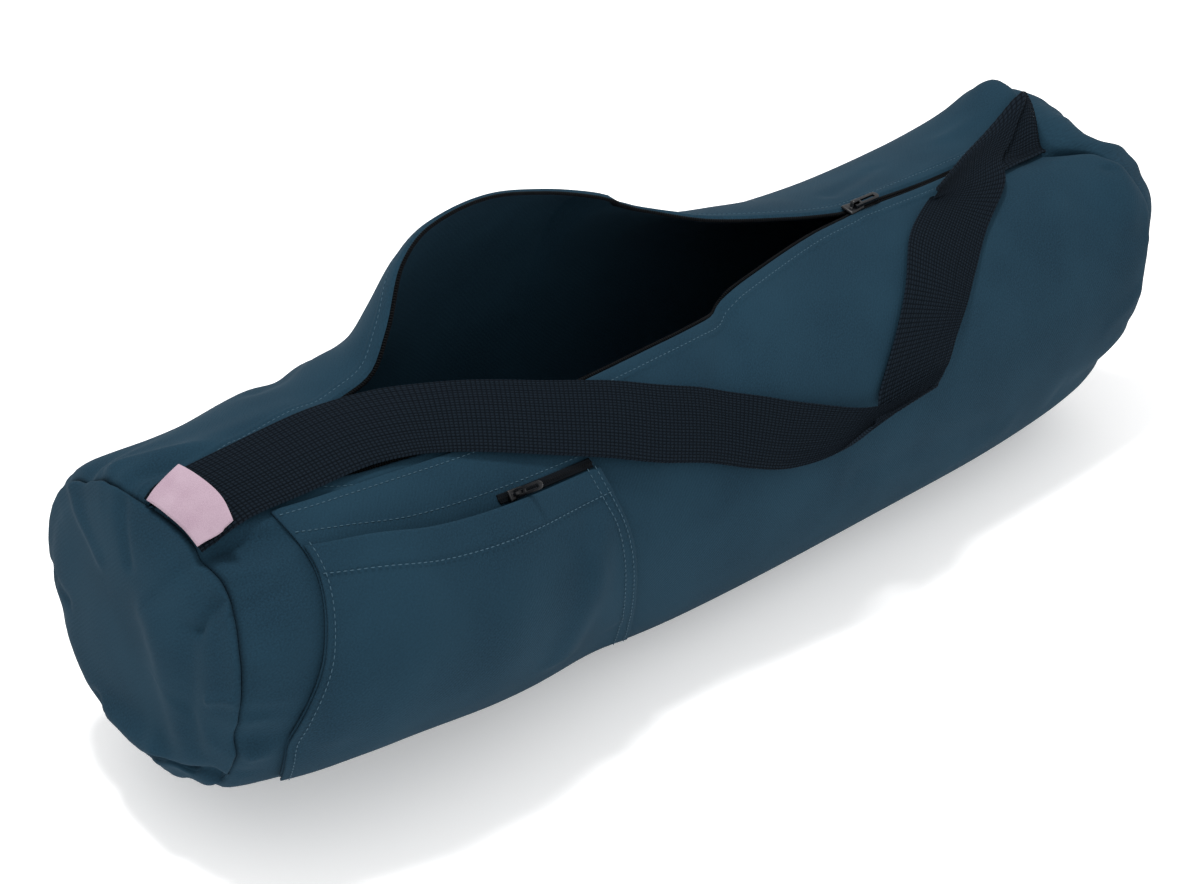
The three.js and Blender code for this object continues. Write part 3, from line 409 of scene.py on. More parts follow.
def makePuckers(count, reachLow, reachHigh, highest):
    step = 360 / count
    rounds = -180 + step * (np.arange(count) + rng.uniform(0.15, 0.85, count))
    return [{"round": r, "wide": rng.uniform(1.8, 4.2), "high": rng.uniform(-1, 0.55) * highest,
             "reach": rng.uniform(reachLow, reachHigh), "lean": rng.uniform(-160, 160)}
            for r in rounds]


puckers = {"left": makePuckers(40, 0.010, 0.040, 0.0026),
           "right": makePuckers(34, 0.010, 0.034, 0.0013)}


def puckerRelief(table, away, rounds):   # away is the distance from the seam
    out = np.zeros(np.broadcast(away, rounds).shape)
    for row in table:
        around = wrapDegrees(rounds - row["round"] - row["lean"] * away)
        fade = bumpAt(away, 0, row["reach"]) * smoothStep(-0.001, 0.004, away)
        out = out + row["high"] * bumpAt(around, 0, row["wide"]) * fade
    return out


def seamRoll(away):   # the cloth turns inwards over the last millimetres before the seam
    return -bag["rollDeep"] * bumpAt(away, 0, bag["rollWide"])


def bagPoint(at, rounds, fine=True):
    at, rounds = np.broadcast_arrays(np.asarray(at, float), wrapDegrees(rounds))
    angle = np.radians(rounds)
    halfWidth = readTable(sections, "at", "wide", at) * bag["width"] / 2
    top = readTable(sections, "at", "top", at) * bag["height"]
    base = readTable(sections, "at", "base", at) * bag["height"]
    middle = (top + base) / 2
    baseShare = smoothStep(*bag["baseTurn"], np.cos(angle))
    power = mix(bag["topRoundness"], bag["baseRoundness"], baseShare)
    across = (np.abs(np.sin(angle)) / halfWidth) ** power
    upright = (np.abs(np.cos(angle)) / ((top - base) / 2)) ** power
    radius = (across + upright) ** (-1 / power)
    y = -radius * np.sin(angle)
    z = middle + radius * np.cos(angle)
    push = np.zeros(at.shape)
    for dent in dents:
        along = (at - dent["at"]) / dent["long"]
        around = wrapDegrees(rounds - dent["round"]) / dent["wide"]
        push += dent["out"] * bag["height"] * np.exp(-along ** 2 - around ** 2)
    push += foldRelief(folds, at, rounds) * bag["height"]
    if fine:
        push += foldRelief(fineFolds, at, rounds) * bag["height"]
        push += puckerRelief(puckers["left"], (at + 1) * halfLength, rounds)
        push += puckerRelief(puckers["right"], (1 - at) * halfLength, rounds)
        push += seamRoll((at + 1) * halfLength) + seamRoll((1 - at) * halfLength)
    reach = np.hypot(y, z - bag["height"] / 2)
    y = y + push * y / reach
    z = np.maximum(z + push * (z - bag["height"] / 2) / reach, 0)
    draw = np.where(at < 0, readTable(seamDraw, "round", "left", rounds),
                    readTable(seamDraw, "round", "right", rounds)) * bag["length"]
    x = at * halfLength + draw * smoothStep(bag["drawFrom"], 1, np.abs(at))
    return np.stack([x, y, z], axis=-1)


def opening(at, column):
    return np.maximum(readTable(mouth, "along", column, (at + 1) * halfLength / openLength), 0)


slotDegrees = math.degrees(bag["zipSlot"] / bag["height"])


def lipRound(at, side):   # side 0 is the near edge of the zip, 1 the far one
    if side == 0:
        return bag["zipAngle"] + slotDegrees + opening(at, "near")
    return 360 + bag["zipAngle"] - slotDegrees - opening(at, "far")


def openPoint(at, rounds, fine=True):   # the cloth with its mouth open, from near to far lip
    at, rounds = np.broadcast_arrays(np.asarray(at, float), np.asarray(rounds, float))
    points = bagPoint(at, rounds, fine)
    swing = smoothStep(*bag["farPanelSwing"], rounds)
    lag = np.where(at < 0, (1 - swing ** 2) * bag["farPanelLag"] / halfLength, 0)
    points[..., 2] += opening(at - lag, "rise") * bag["height"] * swing
    points[..., 1] += opening(at, "back") * bag["width"] * swing
    return points


normalStep = {"at": 0.004, "rounds": 0.6}


def surfaceNormal(place, at, rounds):   # outward normal of a surface function at some places
    ahead = np.clip(at + normalStep["at"], -1, 1)
    behind = np.clip(at - normalStep["at"], -1, 1)
    along = place(ahead, rounds) - place(behind, rounds)
    around = place(at, rounds + normalStep["rounds"]) - place(at, rounds - normalStep["rounds"])
    return unit(np.cross(around, along))


def buildBagCloth():
    ats = easeEnds(bag["alongSteps"], bag["alongEven"]) * 2 - 1
    shares = easeEnds(bag["roundSteps"], bag["roundEven"])
    near = lipRound(ats, 0)[:, None]
    far = lipRound(ats, 1)[:, None]
    rounds = near + (far - near) * shares
    points = openPoint(ats[:, None], rounds)
    fromNear = np.linalg.norm(points - points[:, :1], axis=-1)
    fromFar = np.linalg.norm(points - points[:, -1:], axis=-1)
    fromLip = np.minimum(fromNear, fromFar)
    hem = smoothStep(bag["hemWidth"] * 1.08, bag["hemWidth"] * 0.92, fromLip) * bag["hemRise"]
    groove = bag["grooveDeep"] * bumpAt(fromLip, stitchLine, bag["grooveWide"])
    edge = roundedEdge(fromLip, bag["foldRadius"])
    half = bag["wall"] / 2
    above = (hem - groove) * edge - half * (1 - edge)
    below = half * (1 + edge)
    return sheetPiece("bagCloth", points, above, below, cottonTwill, clothUvs(points))


bagCloth = buildBagCloth()
print("bag cloth:", len(bagCloth.data.polygons), "faces")

# The two round ends. A fold runs from round and reach to round and reach, so high and so wide
ends = {
    "left": {
        "bulge": 0.014, "rimSwell": 0.0042, "crest": 0.0, "crestRound": 0,
        "swells": (
            {"round": 165, "reach": 0.80, "out": 0.035, "wide": 60, "deep": 0.16},
            {"round": 70, "reach": 0.50, "out": 0.016, "wide": 40, "deep": 0.20},
            {"round": -60, "reach": 0.60, "out": -0.018, "wide": 40, "deep": 0.25}),
        "folds": (
            (-150, 0.80, 172, 0.84, -0.0035, 0.060), (172, 0.84, 140, 0.87, -0.0075, 0.036),
            (140, 0.87, 124, 0.97, -0.0060, 0.036), (-160, 0.76, 150, 0.74, 0.0045, 0.080),
            (43, 0.48, 122, 0.62, 0.0022, 0.120), (60, 0.75, 118, 0.80, -0.0022, 0.085),
            (0, 0.93, 10, 0.62, -0.0018, 0.050), (-40, 0.95, -30, 0.55, 0.0018, 0.070),
            (-95, 0.96, -100, 0.70, -0.0018, 0.050), (52, 0.98, 60, 0.80, -0.0030, 0.036),
            (84, 0.98, 88, 0.84, 0.0022, 0.036))},
    "right": {
        "bulge": 0.022, "rimSwell": 0.0012, "crest": 0.019, "crestRound": 16,
        "swells": (
            {"round": 24, "reach": 0.88, "out": 0.118, "wide": 46, "deep": 0.20},
            {"round": 120, "reach": 0.60, "out": -0.020, "wide": 50, "deep": 0.25}),
        "folds": (
            (30, 0.95, 50, 0.55, 0.0020, 0.060), (90, 0.96, 84, 0.60, -0.0022, 0.050),
            (150, 0.95, 165, 0.60, -0.0024, 0.060), (-120, 0.95, -112, 0.60, 0.0020, 0.060),
            (-60, 0.95, -75, 0.50, -0.0022, 0.060))},
}
# What both share: the mesh, how the rim is sewn into the wall, and where rim and crest swell
endShape = {"rings": 72, "spokes": 280, "crowding": 1.7, "sewnIn": 0.55, "setBack": 0.0022,
            "swellReach": 0.965, "swellDeep": 0.030, "crestReach": 0.945, "crestDeep": 0.055,
            "crestWide": 13, "foldFade": 0.95, "swellFade": 0.9, "rimFade": 0.988}
endPuckers = {"left": makePuckers(38, 0.010, 0.022, 0.0005),
              "right": makePuckers(34, 0.010, 0.03, 0.0018)}


def onDisc(rounds, reach):
    return reach * np.cos(np.radians(rounds)), reach * np.sin(np.radians(rounds))


def endPoint(side, reach, rounds, inset=0.0):
    look = ends[side]
    sign = -1 if side == "left" else 1
    middle = bagPoint(sign, np.arange(-180, 180, 5)).mean(axis=0)
    spoke = bagPoint(sign, rounds) - middle
    size = np.linalg.norm(spoke, axis=-1, keepdims=True)
    spoke = spoke * (size - bag["wall"] * endShape["sewnIn"] - inset) / size
    out = (look["bulge"] - inset) * np.sqrt(1 - np.minimum(reach, 1) ** 4)
    for swell in look["swells"]:
        around = wrapDegrees(rounds - swell["round"]) / swell["wide"]
        away = (reach - swell["reach"]) / swell["deep"]
        rise = swell["out"] * bag["height"] * np.exp(-around ** 2 - away ** 2)
        out = out + rise * smoothStep(1, endShape["swellFade"], reach)
    out = out + puckerRelief(endPuckers[side], (1 - reach) * bag["height"] / 2, rounds)
    flatX, flatY = onDisc(rounds, reach)
    for fromRound, fromReach, toRound, toReach, high, wide in look["folds"]:
        startX, startY = onDisc(fromRound, fromReach)
        stopX, stopY = onDisc(toRound, toReach)
        away = fromLine(flatX - startX, flatY - startY, stopX - startX, stopY - startY)[0]
        out = out + high * bumpAt(away, 0, wide) * smoothStep(1, endShape["foldFade"], reach)
    fromCrest = wrapDegrees(rounds - look["crestRound"])
    rise = (look["crest"] * bumpAt(fromCrest, 0, endShape["crestWide"])
            * bumpAt(reach, endShape["crestReach"], endShape["crestDeep"])
            + look["rimSwell"] * bumpAt(reach, endShape["swellReach"], endShape["swellDeep"]))
    swollen = 1 + rise / size[..., 0] * smoothStep(1, endShape["rimFade"], reach)
    points = middle + spoke * (reach * swollen)[..., None]
    points[..., 0] = middle[0] + spoke[..., 0] * reach ** 5 + sign * (out - endShape["setBack"])
    return points


def buildEnd(name, side):
    count = endShape["spokes"]
    even = np.linspace(0, 1, endShape["rings"] + 1)[1:]
    reaches = 1 - (1 - even) ** endShape["crowding"]
    rounds = np.arange(count) * 360 / count
    reachGrid, roundGrid = np.meshgrid(reaches, rounds, indexing="ij")
    layers = []
    for inset in (0.0, bag["wall"]):
        layers.append(endPoint(side, reachGrid, roundGrid, inset).reshape(-1, 3))
        layers.append(endPoint(side, np.zeros(count), rounds, inset).mean(axis=0)[None])
    vertices = np.concatenate(layers)
    ring = np.arange(len(reaches) * count).reshape(len(reaches), count)
    turned = np.roll(ring, -1, axis=1)
    shift = ring.size + 1
    quads = np.stack([ring[1:], turned[1:], turned[:-1], ring[:-1]], axis=-1).reshape(-1, 4)
    wall = np.stack([ring[-1], ring[-1] + shift, turned[-1] + shift, turned[-1]], axis=-1)
    fan = np.stack([ring[0], turned[0], np.full(count, ring.size)], axis=-1)
    faces = (quads.tolist() + (quads[:, ::-1] + shift).tolist() + wall.tolist()
             + fan.tolist() + (fan[:, ::-1] + shift).tolist())
    if side == "left":
        faces = [face[::-1] for face in faces]
    uvs = vertices[:, 1:] * 1000
    return makePiece(name, vertices, faces, cottonTwill, uvs)


leftEnd = buildEnd("leftEnd", "left")
rightEnd = buildEnd("rightEnd", "right")
print("round ends ready")

# The shoulder strap: its two edges as places on the bag and heights in strap walls
strap = {"wall": 0.0022, "alongSteps": 420, "ribs": 17, "stepsPerRib": 5, "ribDepth": 0.00026,
         "edgeRadius": 0.0011, "plainEdge": 0.001}
strapRulings = namedRows(("aAt", "aRound", "aLift", "bAt", "bRound", "bLift"), (
    (-0.998, 8.0, 1.2, -0.998, 35.0, 1.2), (-0.930, 7.0, 1.5, -0.920, 33.0, 1.5),
    (-0.800, 5.2, 1.7, -0.810, 32.0, 1.7), (-0.700, 5.3, 1.8, -0.715, 31.5, 1.8),
    (-0.615, 8.3, 1.8, -0.645, 33.0, 1.8), (-0.545, 12.7, 1.8, -0.600, 35.0, 1.8),
    (-0.470, 18.1, 1.8, -0.540, 39.2, 2.4), (-0.368, 26.6, 1.8, -0.438, 46.8, 2.7),
    (-0.265, 34.2, 1.8, -0.335, 54.3, 3.0), (-0.185, 41.0, 1.6, -0.248, 61.0, 2.6),
    (-0.105, 47.2, 1.5, -0.160, 66.6, 2.2), (-0.011, 55.8, 1.7, -0.077, 73.4, 2.8),
    (0.083, 63.9, 1.9, 0.005, 78.5, 3.4), (0.207, 72.6, 3.2, 0.097, 79.5, 5.2),
    (0.337, 74.4, 5.0, 0.180, 76.5, 6.0), (0.374, 74.4, 3.6, 0.202, 75.8, 4.4),
    (0.406, 72.8, 1.8, 0.225, 74.5, 2.4), (0.424, 70.4, 1.3, 0.245, 70.0, 1.3),
    (0.452, 64.5, 1.2, 0.290, 61.0, 1.2), (0.498, 57.0, 1.3, 0.375, 45.5, 1.3),
    (0.545, 49.5, 1.2, 0.460, 29.9, 1.2), (0.640, 36.3, 1.4, 0.550, 21.2, 1.8),
    (0.803, 20.6, 2.6, 0.565, 21.3, 2.8), (0.951, 3.1, 2.9, 0.585, 20.1, 2.9),
    (0.980, -3.2, 2.7, 0.595, 18.7, 2.7), (0.984, -3.6, 1.8, 0.615, 18.9, 1.7),
    (0.988, -5.3, 1.6, 0.780, 21.5, 1.3), (0.992, -5.8, 1.6, 0.992, 19.7, 1.5)))
for order, ruling in enumerate(strapRulings):
    ruling["order"] = order


def plainPoint(at, rounds):
    return bagPoint(at, rounds, fine=False)


def liftedPoint(at, rounds, lift):
    return plainPoint(at, rounds) + surfaceNormal(plainPoint, at, rounds) * lift[..., None]


def buildStrap():
    runs = np.linspace(0, len(strapRulings) - 1, strap["alongSteps"] + 1)[:, None]
    shares = np.linspace(0, 1, strap["ribs"] * strap["stepsPerRib"] + 1)[None, :]
    columns = {name: readTable(strapRulings, "order", name, runs)
               for name in ("aAt", "aRound", "aLift", "bAt", "bRound", "bLift")}
    at = mix(columns["aAt"], columns["bAt"], shares)
    rounds = mix(columns["aRound"], columns["bRound"], shares)
    lift = mix(columns["aLift"], columns["bLift"], shares) * strap["wall"]
    points = liftedPoint(at, rounds, lift)
    rib = np.abs(np.sin(np.pi * strap["ribs"] * shares)) * strap["ribDepth"] - strap["ribDepth"]
    width = np.linalg.norm(points[:, -1] - points[:, 0], axis=-1).mean()
    fromEdge = np.minimum(shares, 1 - shares) * width
    half = strap["wall"] / 2 * roundedEdge(fromEdge, strap["edgeRadius"])
    half = half + rib * (fromEdge > strap["plainEdge"])
    return sheetPiece("strapWebbing", points, half, half, cottonWebbing, clothUvs(points))


strapWebbing = buildStrap()
print("strap ready")

# The bare label in the left seam: a ribbon folded over on itself
label = {"width": 0.038, "reach": 0.0145, "wall": 0.00045, "lean": 0.0085, "fold": 0.0009,
         "clear": 0.0012, "curl": 0.0006, "turnSteps": 60, "acrossSteps": 39}


def buildLabel():
    seam = strapRulings[0]
    run = np.linspace(0, 1, label["turnSteps"] + 1)[:, None]
    shares = np.linspace(0, 1, label["acrossSteps"] + 1)[None, :]
    out = np.sin(np.pi * run) ** 0.8   # 0 in the seam, 1 at the ribbon's fold
    at = seam["aAt"] + out * label["reach"] / halfLength
    spread = label["width"] / girth * 360
    rounds = (seam["aRound"] + seam["bRound"]) / 2 + spread * (shares - 0.5) + 0 * out
    base = (seam["aLift"] + 0.5) * strap["wall"] + label["clear"]
    bow = label["lean"] * out ** 1.4 * mix(0.75, 1.15, shares)
    curl = label["curl"] * np.sin(np.pi * shares) * out
    turn = label["fold"] * np.cos(np.pi * run) * mix(0.35, 1, out)
    points = liftedPoint(at, rounds, base + bow + curl + turn)
    half = label["wall"] / 2
    return sheetPiece("seamLabel", points, half, half, satinLabel, clothUvs(points))


seamLabel = buildLabel()

# The pocket: a back layer on the bag and a front panel that stands open at its mouth
pocket = {"wall": 0.0011, "gap": 0.0003, "gape": 0.012, "lift": 0.0009, "tall": 0.125,
          "acrossSteps": 120, "downSteps": 90, "crowding": 1.25, "sideHold": 0.03,
          "hem": 0.015, "hemRise": 0.0006, "foldRadius": 0.0013}
pocketSides = namedRows(("round", "left", "right"), (
    (34, -0.890, -0.366), (55, -0.878, -0.356), (76, -0.890, -0.328), (96, -0.925, -0.310),
    (112, -0.935, -0.290), (132, -0.920, -0.262)))
pocketEdges = namedRows(("across", "top", "mouth", "bottom"), (
    (0.0, 33, 46, 127), (0.15, 34, 49, 128), (0.35, 35, 53, 129), (0.65, 36, 54.5, 129),
    (1.0, 36, 55, 127)))


def pocketPoint(across, rounds, lift):
    left = readTable(pocketSides, "round", "left", rounds)
    right = readTable(pocketSides, "round", "right", rounds)
    return liftedPoint(left + (right - left) * across, rounds, lift)


def pocketGrid():
    across = np.linspace(0, 1, pocket["acrossSteps"] + 1)[:, None]
    down = (np.linspace(0, 1, pocket["downSteps"] + 1) ** pocket["crowding"])[None, :]
    return np.broadcast_arrays(across, down)


def pocketRounds(top, across, down):   # from the line named by top down to the bottom line
    upper = readTable(pocketEdges, "across", top, across)
    lower = readTable(pocketEdges, "across", "bottom", across)
    return upper + (lower - upper) * down


def buildPocketBack():
    across, down = pocketGrid()
    hold = pocket["sideHold"]
    held = smoothStep(0, hold, across) * smoothStep(1, 1 - hold, across)
    lift = pocket["wall"] + pocket["gap"] + pocket["lift"] * mix(0.35, 1, held)
    points = pocketPoint(across, pocketRounds("top", across, down), lift)
    return sheetPiece("pocketBack", points, 0, pocket["wall"], cottonTwill, clothUvs(points))


# Folds of the front panel, in shares across and down it and in metres high
pocketFolds = namedRows(("across", "down", "toAcross", "toDown", "high", "wide"), (
    (0.90, 0.22, 0.74, 0.72, 0.0030, 0.060), (0.80, 0.15, 0.93, 0.75, 0.0012, 0.040),
    (0.55, 0.30, 0.50, 0.70, 0.0012, 0.100), (0.12, 0.30, 0.10, 0.70, 0.0014, 0.050),
    (0.25, 0.20, 0.40, 0.60, 0.0008, 0.080)))


def frontLift(across, down):
    held = smoothStep(0, 0.28, across) * smoothStep(1, 0.5, across)
    lift = pocket["gape"] * held * (1 - down ** 3)
    fade = smoothStep(0, 0.22, down * (1 - down))
    for row in pocketFolds:
        away = fromLine(across - row["across"], down - row["down"],
                        row["toAcross"] - row["across"], row["toDown"] - row["down"])[0]
        lift = lift + row["high"] * bumpAt(away, 0, row["wide"]) * fade
    return lift + (pocket["wall"] + pocket["gap"]) * 2 + pocket["lift"]


def frontPoint(across, down):
    rounds = pocketRounds("mouth", across, down)
    return pocketPoint(across, rounds, frontLift(across, down))


def buildPocketFront():
    points = frontPoint(*pocketGrid())
    fromMouth = np.linalg.norm(points - points[:, :1], axis=-1)
    hem = smoothStep(pocket["hem"] * 1.05, pocket["hem"] * 0.95, fromMouth) * pocket["hemRise"]
    edge = roundedEdge(fromMouth, pocket["foldRadius"])
    foldHeight = pocket["wall"] * 0.4
    above = hem * edge - foldHeight * (1 - edge)
    below = mix(foldHeight, pocket["wall"], edge)
    return sheetPiece("pocketFront", points, above, below, cottonTwill, clothUvs(points))


pocketBack = buildPocketBack()
pocketFront = buildPocketFront()
print("pocket ready")

# Small copies along a path: a round bead stretched to a stitch or to a turn of coil
def repeatTree(name, material):
    tree = bpy.data.node_groups.new(name, "GeometryNodeTree")
    tree.interface.new_socket("Geometry", in_out="INPUT", socket_type="NodeSocketGeometry")
    for sizeName in ("Spacing", "Length", "Width", "Height"):
        tree.interface.new_socket(sizeName, in_out="INPUT", socket_type="NodeSocketFloat")
    tree.interface.new_socket("Geometry", in_out="OUTPUT", socket_type="NodeSocketGeometry")
    group = addNode(tree, "NodeGroupInput")
    line = addNode(tree, "GeometryNodeMeshToCurve", None, {"Mesh": group.outputs["Geometry"]})
    spaced = addNode(tree, "GeometryNodeResampleCurve", {"mode": "LENGTH"},
                     {"Curve": line.outputs["Curve"], "Length": group.outputs["Spacing"]})
    up = addNode(tree, "GeometryNodeInputNamedAttribute", {"data_type": "FLOAT_VECTOR"},
                 {"Name": "up"})
    tangent = addNode(tree, "GeometryNodeInputTangent")
    turn = addNode(tree, "FunctionNodeAxesToRotation",
                   {"primary_axis": "Z", "secondary_axis": "X"},
                   {0: up.outputs["Attribute"], 1: tangent.outputs["Tangent"]})
    bead = addNode(tree, "GeometryNodeMeshUVSphere", None,
                   {"Segments": 8, "Rings": 5, "Radius": 0.5})
    size = addNode(tree, "ShaderNodeCombineXYZ", None,
                   {"X": group.outputs["Length"], "Y": group.outputs["Width"],
                    "Z": group.outputs["Height"]})
    copies = addNode(tree, "GeometryNodeInstanceOnPoints", None,
                     {"Points": spaced.outputs["Curve"], "Instance": bead.outputs["Mesh"],
                      "Rotation": turn.outputs["Rotation"], "Scale": size.outputs["Vector"]})
    real = addNode(tree, "GeometryNodeRealizeInstances", None,
                   {"Geometry": copies.outputs["Instances"]})
    smooth = addNode(tree, "GeometryNodeSetShadeSmooth", None,
                     {"Geometry": real.outputs["Geometry"]})
    finish = addNode(tree, "GeometryNodeSetMaterial", None,
                     {"Geometry": smooth.outputs["Geometry"], "Material": material})
    addNode(tree, "NodeGroupOutput", None, {"Geometry": finish.outputs["Geometry"]})
    return tree


def repeatAlong(name, paths, tree, sizes):   # paths are pairs of points and normals
    vertices, ups, edges = [], [], []
    for points, normals in paths:
        start = len(vertices)
        vertices += points.tolist()
        ups += normals.tolist()
        edges += [(start + i, start + i + 1) for i in range(len(points) - 1)]
    mesh = bpy.data.meshes.new(name + "Path")
    mesh.from_pydata(vertices, edges, [])
    mesh.attributes.new("up", "FLOAT_VECTOR", "POINT").data.foreach_set("vector", np.ravel(ups))
    guide = placeObject(name + "Guide", mesh)
    modifier = guide.modifiers.new("repeat", "NODES")
    modifier.node_group = tree
    for item in tree.interface.items_tree:
        if item.in_out == "INPUT" and item.name in sizes:
            modifier[item.identifier] = sizes[item.name]
    return plainPiece(name, guide)


def lipFrame(ats, side):   # the cloth edge, the way out of it into the mouth, and the way up
    rounds = lipRound(ats, side)
    edge = openPoint(ats, rounds)
    inward = 2.0 if side == 0 else -2.0
    out = unit(edge - openPoint(ats, rounds + inward, fine=False))
    along = unit(np.gradient(edge, axis=0))
    up = unit(np.cross(along, out)) * (1 if side == 0 else -1)
    return edge, out, up


zipLook = {"tapeHold": 0.0035, "tapeShow": 0.0016, "tapeWall": 0.0007, "underCloth": 0.0019,
           "coilOut": 0.0011, "coilDown": 0.0012, "inset": 0.005,
           "tapeSteps": 300, "tapeAcross": 6, "coilSteps": 600}
coilSizes = {"Spacing": 0.0014, "Length": 0.0011, "Width": 0.0024, "Height": 0.0019}
stitchSizes = {"Spacing": 0.0031, "Length": 0.0022, "Width": 0.0005, "Height": 0.0005}
coilTree = repeatTree("coilTurns", nylonCoil)
stitchTree = repeatTree("stitches", slateThread)


def zipPlaces(steps):
    last = 1 - zipLook["inset"] / halfLength
    return np.linspace(-last, last, steps + 1)


def buildTape(name, side):
    ats = zipPlaces(zipLook["tapeSteps"])
    edge, out, up = lipFrame(ats, side)
    reach = np.linspace(-zipLook["tapeHold"], zipLook["tapeShow"], zipLook["tapeAcross"] + 1)
    if side == 0:
        reach = reach[::-1]
    points = (edge[:, None] + out[:, None] * reach[None, :, None]
              - up[:, None] * zipLook["underCloth"])
    half = zipLook["tapeWall"] / 2
    return sheetPiece(name, points, half, half, polyesterTape, clothUvs(points))


def coilPath(side):
    edge, out, up = lipFrame(zipPlaces(zipLook["coilSteps"]), side)
    return edge + out * zipLook["coilOut"] - up * zipLook["coilDown"], up


tapeNear = buildTape("zipTapeNear", 0)
tapeFar = buildTape("zipTapeFar", 1)
coilNear = repeatAlong("zipCoilNear", [coilPath(0)], coilTree, coilSizes)
coilFar = repeatAlong("zipCoilFar", [coilPath(1)], coilTree, coilSizes)
print("zip:", len(coilNear.data.polygons) + len(coilFar.data.polygons), "faces of coil")

# Rows of stitches: runs and places in shares of the bag or pocket, lifts in metres
stitching = {"lipRun": (-0.95, 0.955), "lipLift": 0.0004, "pocketRun": (0.015, 0.985),
             "sideRun": (0.0, 0.985), "sides": (0.018, 0.985, 0.955), "hemShare": 0.9,
             "aboveMouth": 4.6, "belowTop": 2.2, "frontLift": 0.00075, "backLift": 0.00015,
             "nudge": 0.004, "nudgeRounds": 0.5}


def lipStitches(side):
    ats = np.linspace(*stitching["lipRun"], 500)
    inward = math.degrees(stitchLine / (bag["height"] / 2)) * (1 if side == 0 else -1)
    rounds = lipRound(ats, side) + inward
    normals = surfaceNormal(openPoint, ats, rounds)
    return openPoint(ats, rounds) + normals * stitching["lipLift"], normals


def backPoint(across, rounds):
    lift = np.full(across.shape, pocket["wall"] + pocket["gap"] + pocket["lift"])
    return pocketPoint(across, rounds, lift)


def pocketRow(place, across, down, nudge, lift):   # one row on the panel that place gives
    across, down = np.broadcast_arrays(np.asarray(across, float), np.asarray(down, float))
    points = place(across, down)
    normals = unit(np.cross(place(across, down + nudge) - points,
                            place(across + stitching["nudge"], down) - points))
    return points + normals * lift, normals


def edgeStitches():
    run = np.linspace(*stitching["pocketRun"], 160)
    sideRun = np.linspace(*stitching["sideRun"], 160)
    hemDown = pocket["hem"] * stitching["hemShare"] / pocket["tall"]
    mouthRounds = readTable(pocketEdges, "across", "mouth", run) - stitching["aboveMouth"]
    topRounds = readTable(pocketEdges, "across", "top", run) + stitching["belowTop"]
    front = [(run, hemDown)] + [(side, sideRun) for side in stitching["sides"]]
    back = [(run, mouthRounds), (run, topRounds)]
    return ([pocketRow(frontPoint, *row, stitching["nudge"], stitching["frontLift"])
             for row in front]
            + [pocketRow(backPoint, *row, stitching["nudgeRounds"], stitching["backLift"])
               for row in back])


zipStitches = repeatAlong("zipStitches", [lipStitches(0), lipStitches(1)], stitchTree, stitchSizes)
pocketThread = repeatAlong("pocketStitches", edgeStitches(), stitchTree, stitchSizes)
print("stitches ready")

# The short length of the pocket's zip that shows, behind its slider
pocketZip = {"slider": 0.69, "ahead": 0.05, "end": 0.985, "width": 0.0046,
             "aboveMouth": 0.36, "lift": 0.0009, "wall": 0.0006}
pocketCoilSizes = {"Spacing": 0.0013, "Length": 0.001, "Width": 0.0026, "Height": 0.0012}


def buildPocketZip():
    start = pocketZip["slider"] - pocketZip["ahead"]
    run = np.linspace(start, pocketZip["end"], 90)[:, None]
    side = np.linspace(-1, 1, 7)[None, :]
    middle = side.size // 2
    wide = math.degrees(pocketZip["width"] / bag["height"]) * (side - 1)
    rounds = readTable(pocketEdges, "across", "mouth", run) - pocketZip["aboveMouth"] + wide
    lift = np.full(rounds.shape, pocket["wall"] + pocket["lift"] + pocketZip["lift"])
    points = pocketPoint(run + 0 * rounds, rounds, lift)
    half = pocketZip["wall"] / 2
    tape = sheetPiece("pocketZipTape", points, half, half, polyesterTape, clothUvs(points))
    path = (points[:, middle], gridNormals(points)[:, middle])
    return tape, repeatAlong("pocketZipCoil", [path], coilTree, pocketCoilSizes)


pocketTape, pocketCoil = buildPocketZip()

# How the edges of the hard pieces are rounded: angles in degrees, merge in metres
softening = {"segments": 3, "fromAngle": 25, "flatWithin": 1, "merge": 1e-6}


def softenedCopy(name, nodeName, bevel, material):   # a packed hard piece with its edges rounded
    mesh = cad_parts[nodeName].data.copy()
    mesh.name = name
    mesh.materials.clear()
    mesh.materials.append(material)
    form = bmesh.new()
    form.from_mesh(mesh)
    bmesh.ops.remove_doubles(form, verts=form.verts, dist=softening["merge"])
    bmesh.ops.dissolve_limit(form, angle_limit=math.radians(softening["flatWithin"]),
                             verts=form.verts, edges=form.edges)
    form.to_mesh(mesh)
    form.free()
    rough = placeObject(name + "Rough", mesh)
    rounding = rough.modifiers.new("rounding", "BEVEL")
    rounding.width = bevel
    rounding.segments = softening["segments"]
    rounding.limit_method = "ANGLE"
    rounding.angle_limit = math.radians(softening["fromAngle"])
    piece = plainPiece(name, rough)
    piece.data.polygons.foreach_set("use_smooth", [True] * len(piece.data.polygons))
    return piece


mainSlider = softenedCopy("mainSlider", "zip_slider", 0.00045, blackEnamel)
mainPull = softenedCopy("mainPull", "zip_pull", 0.0004, blackEnamel)
smallSlider = softenedCopy("smallSlider", "pocket_slider", 0.00035, blackEnamel)
smallPull = softenedCopy("smallPull", "pocket_pull", 0.0003, blackEnamel)
print("sliders ready")

# Camera at the photograph's place: azimuth and elevation in degrees, distance to its target
view = {"azimuth": -43.73, "elevation": 31.79, "roll": 1.90, "distance": 1.2978,
        "target": (-0.03498, 0.0, 0.09285), "lens": 72.0, "sensor": 36}


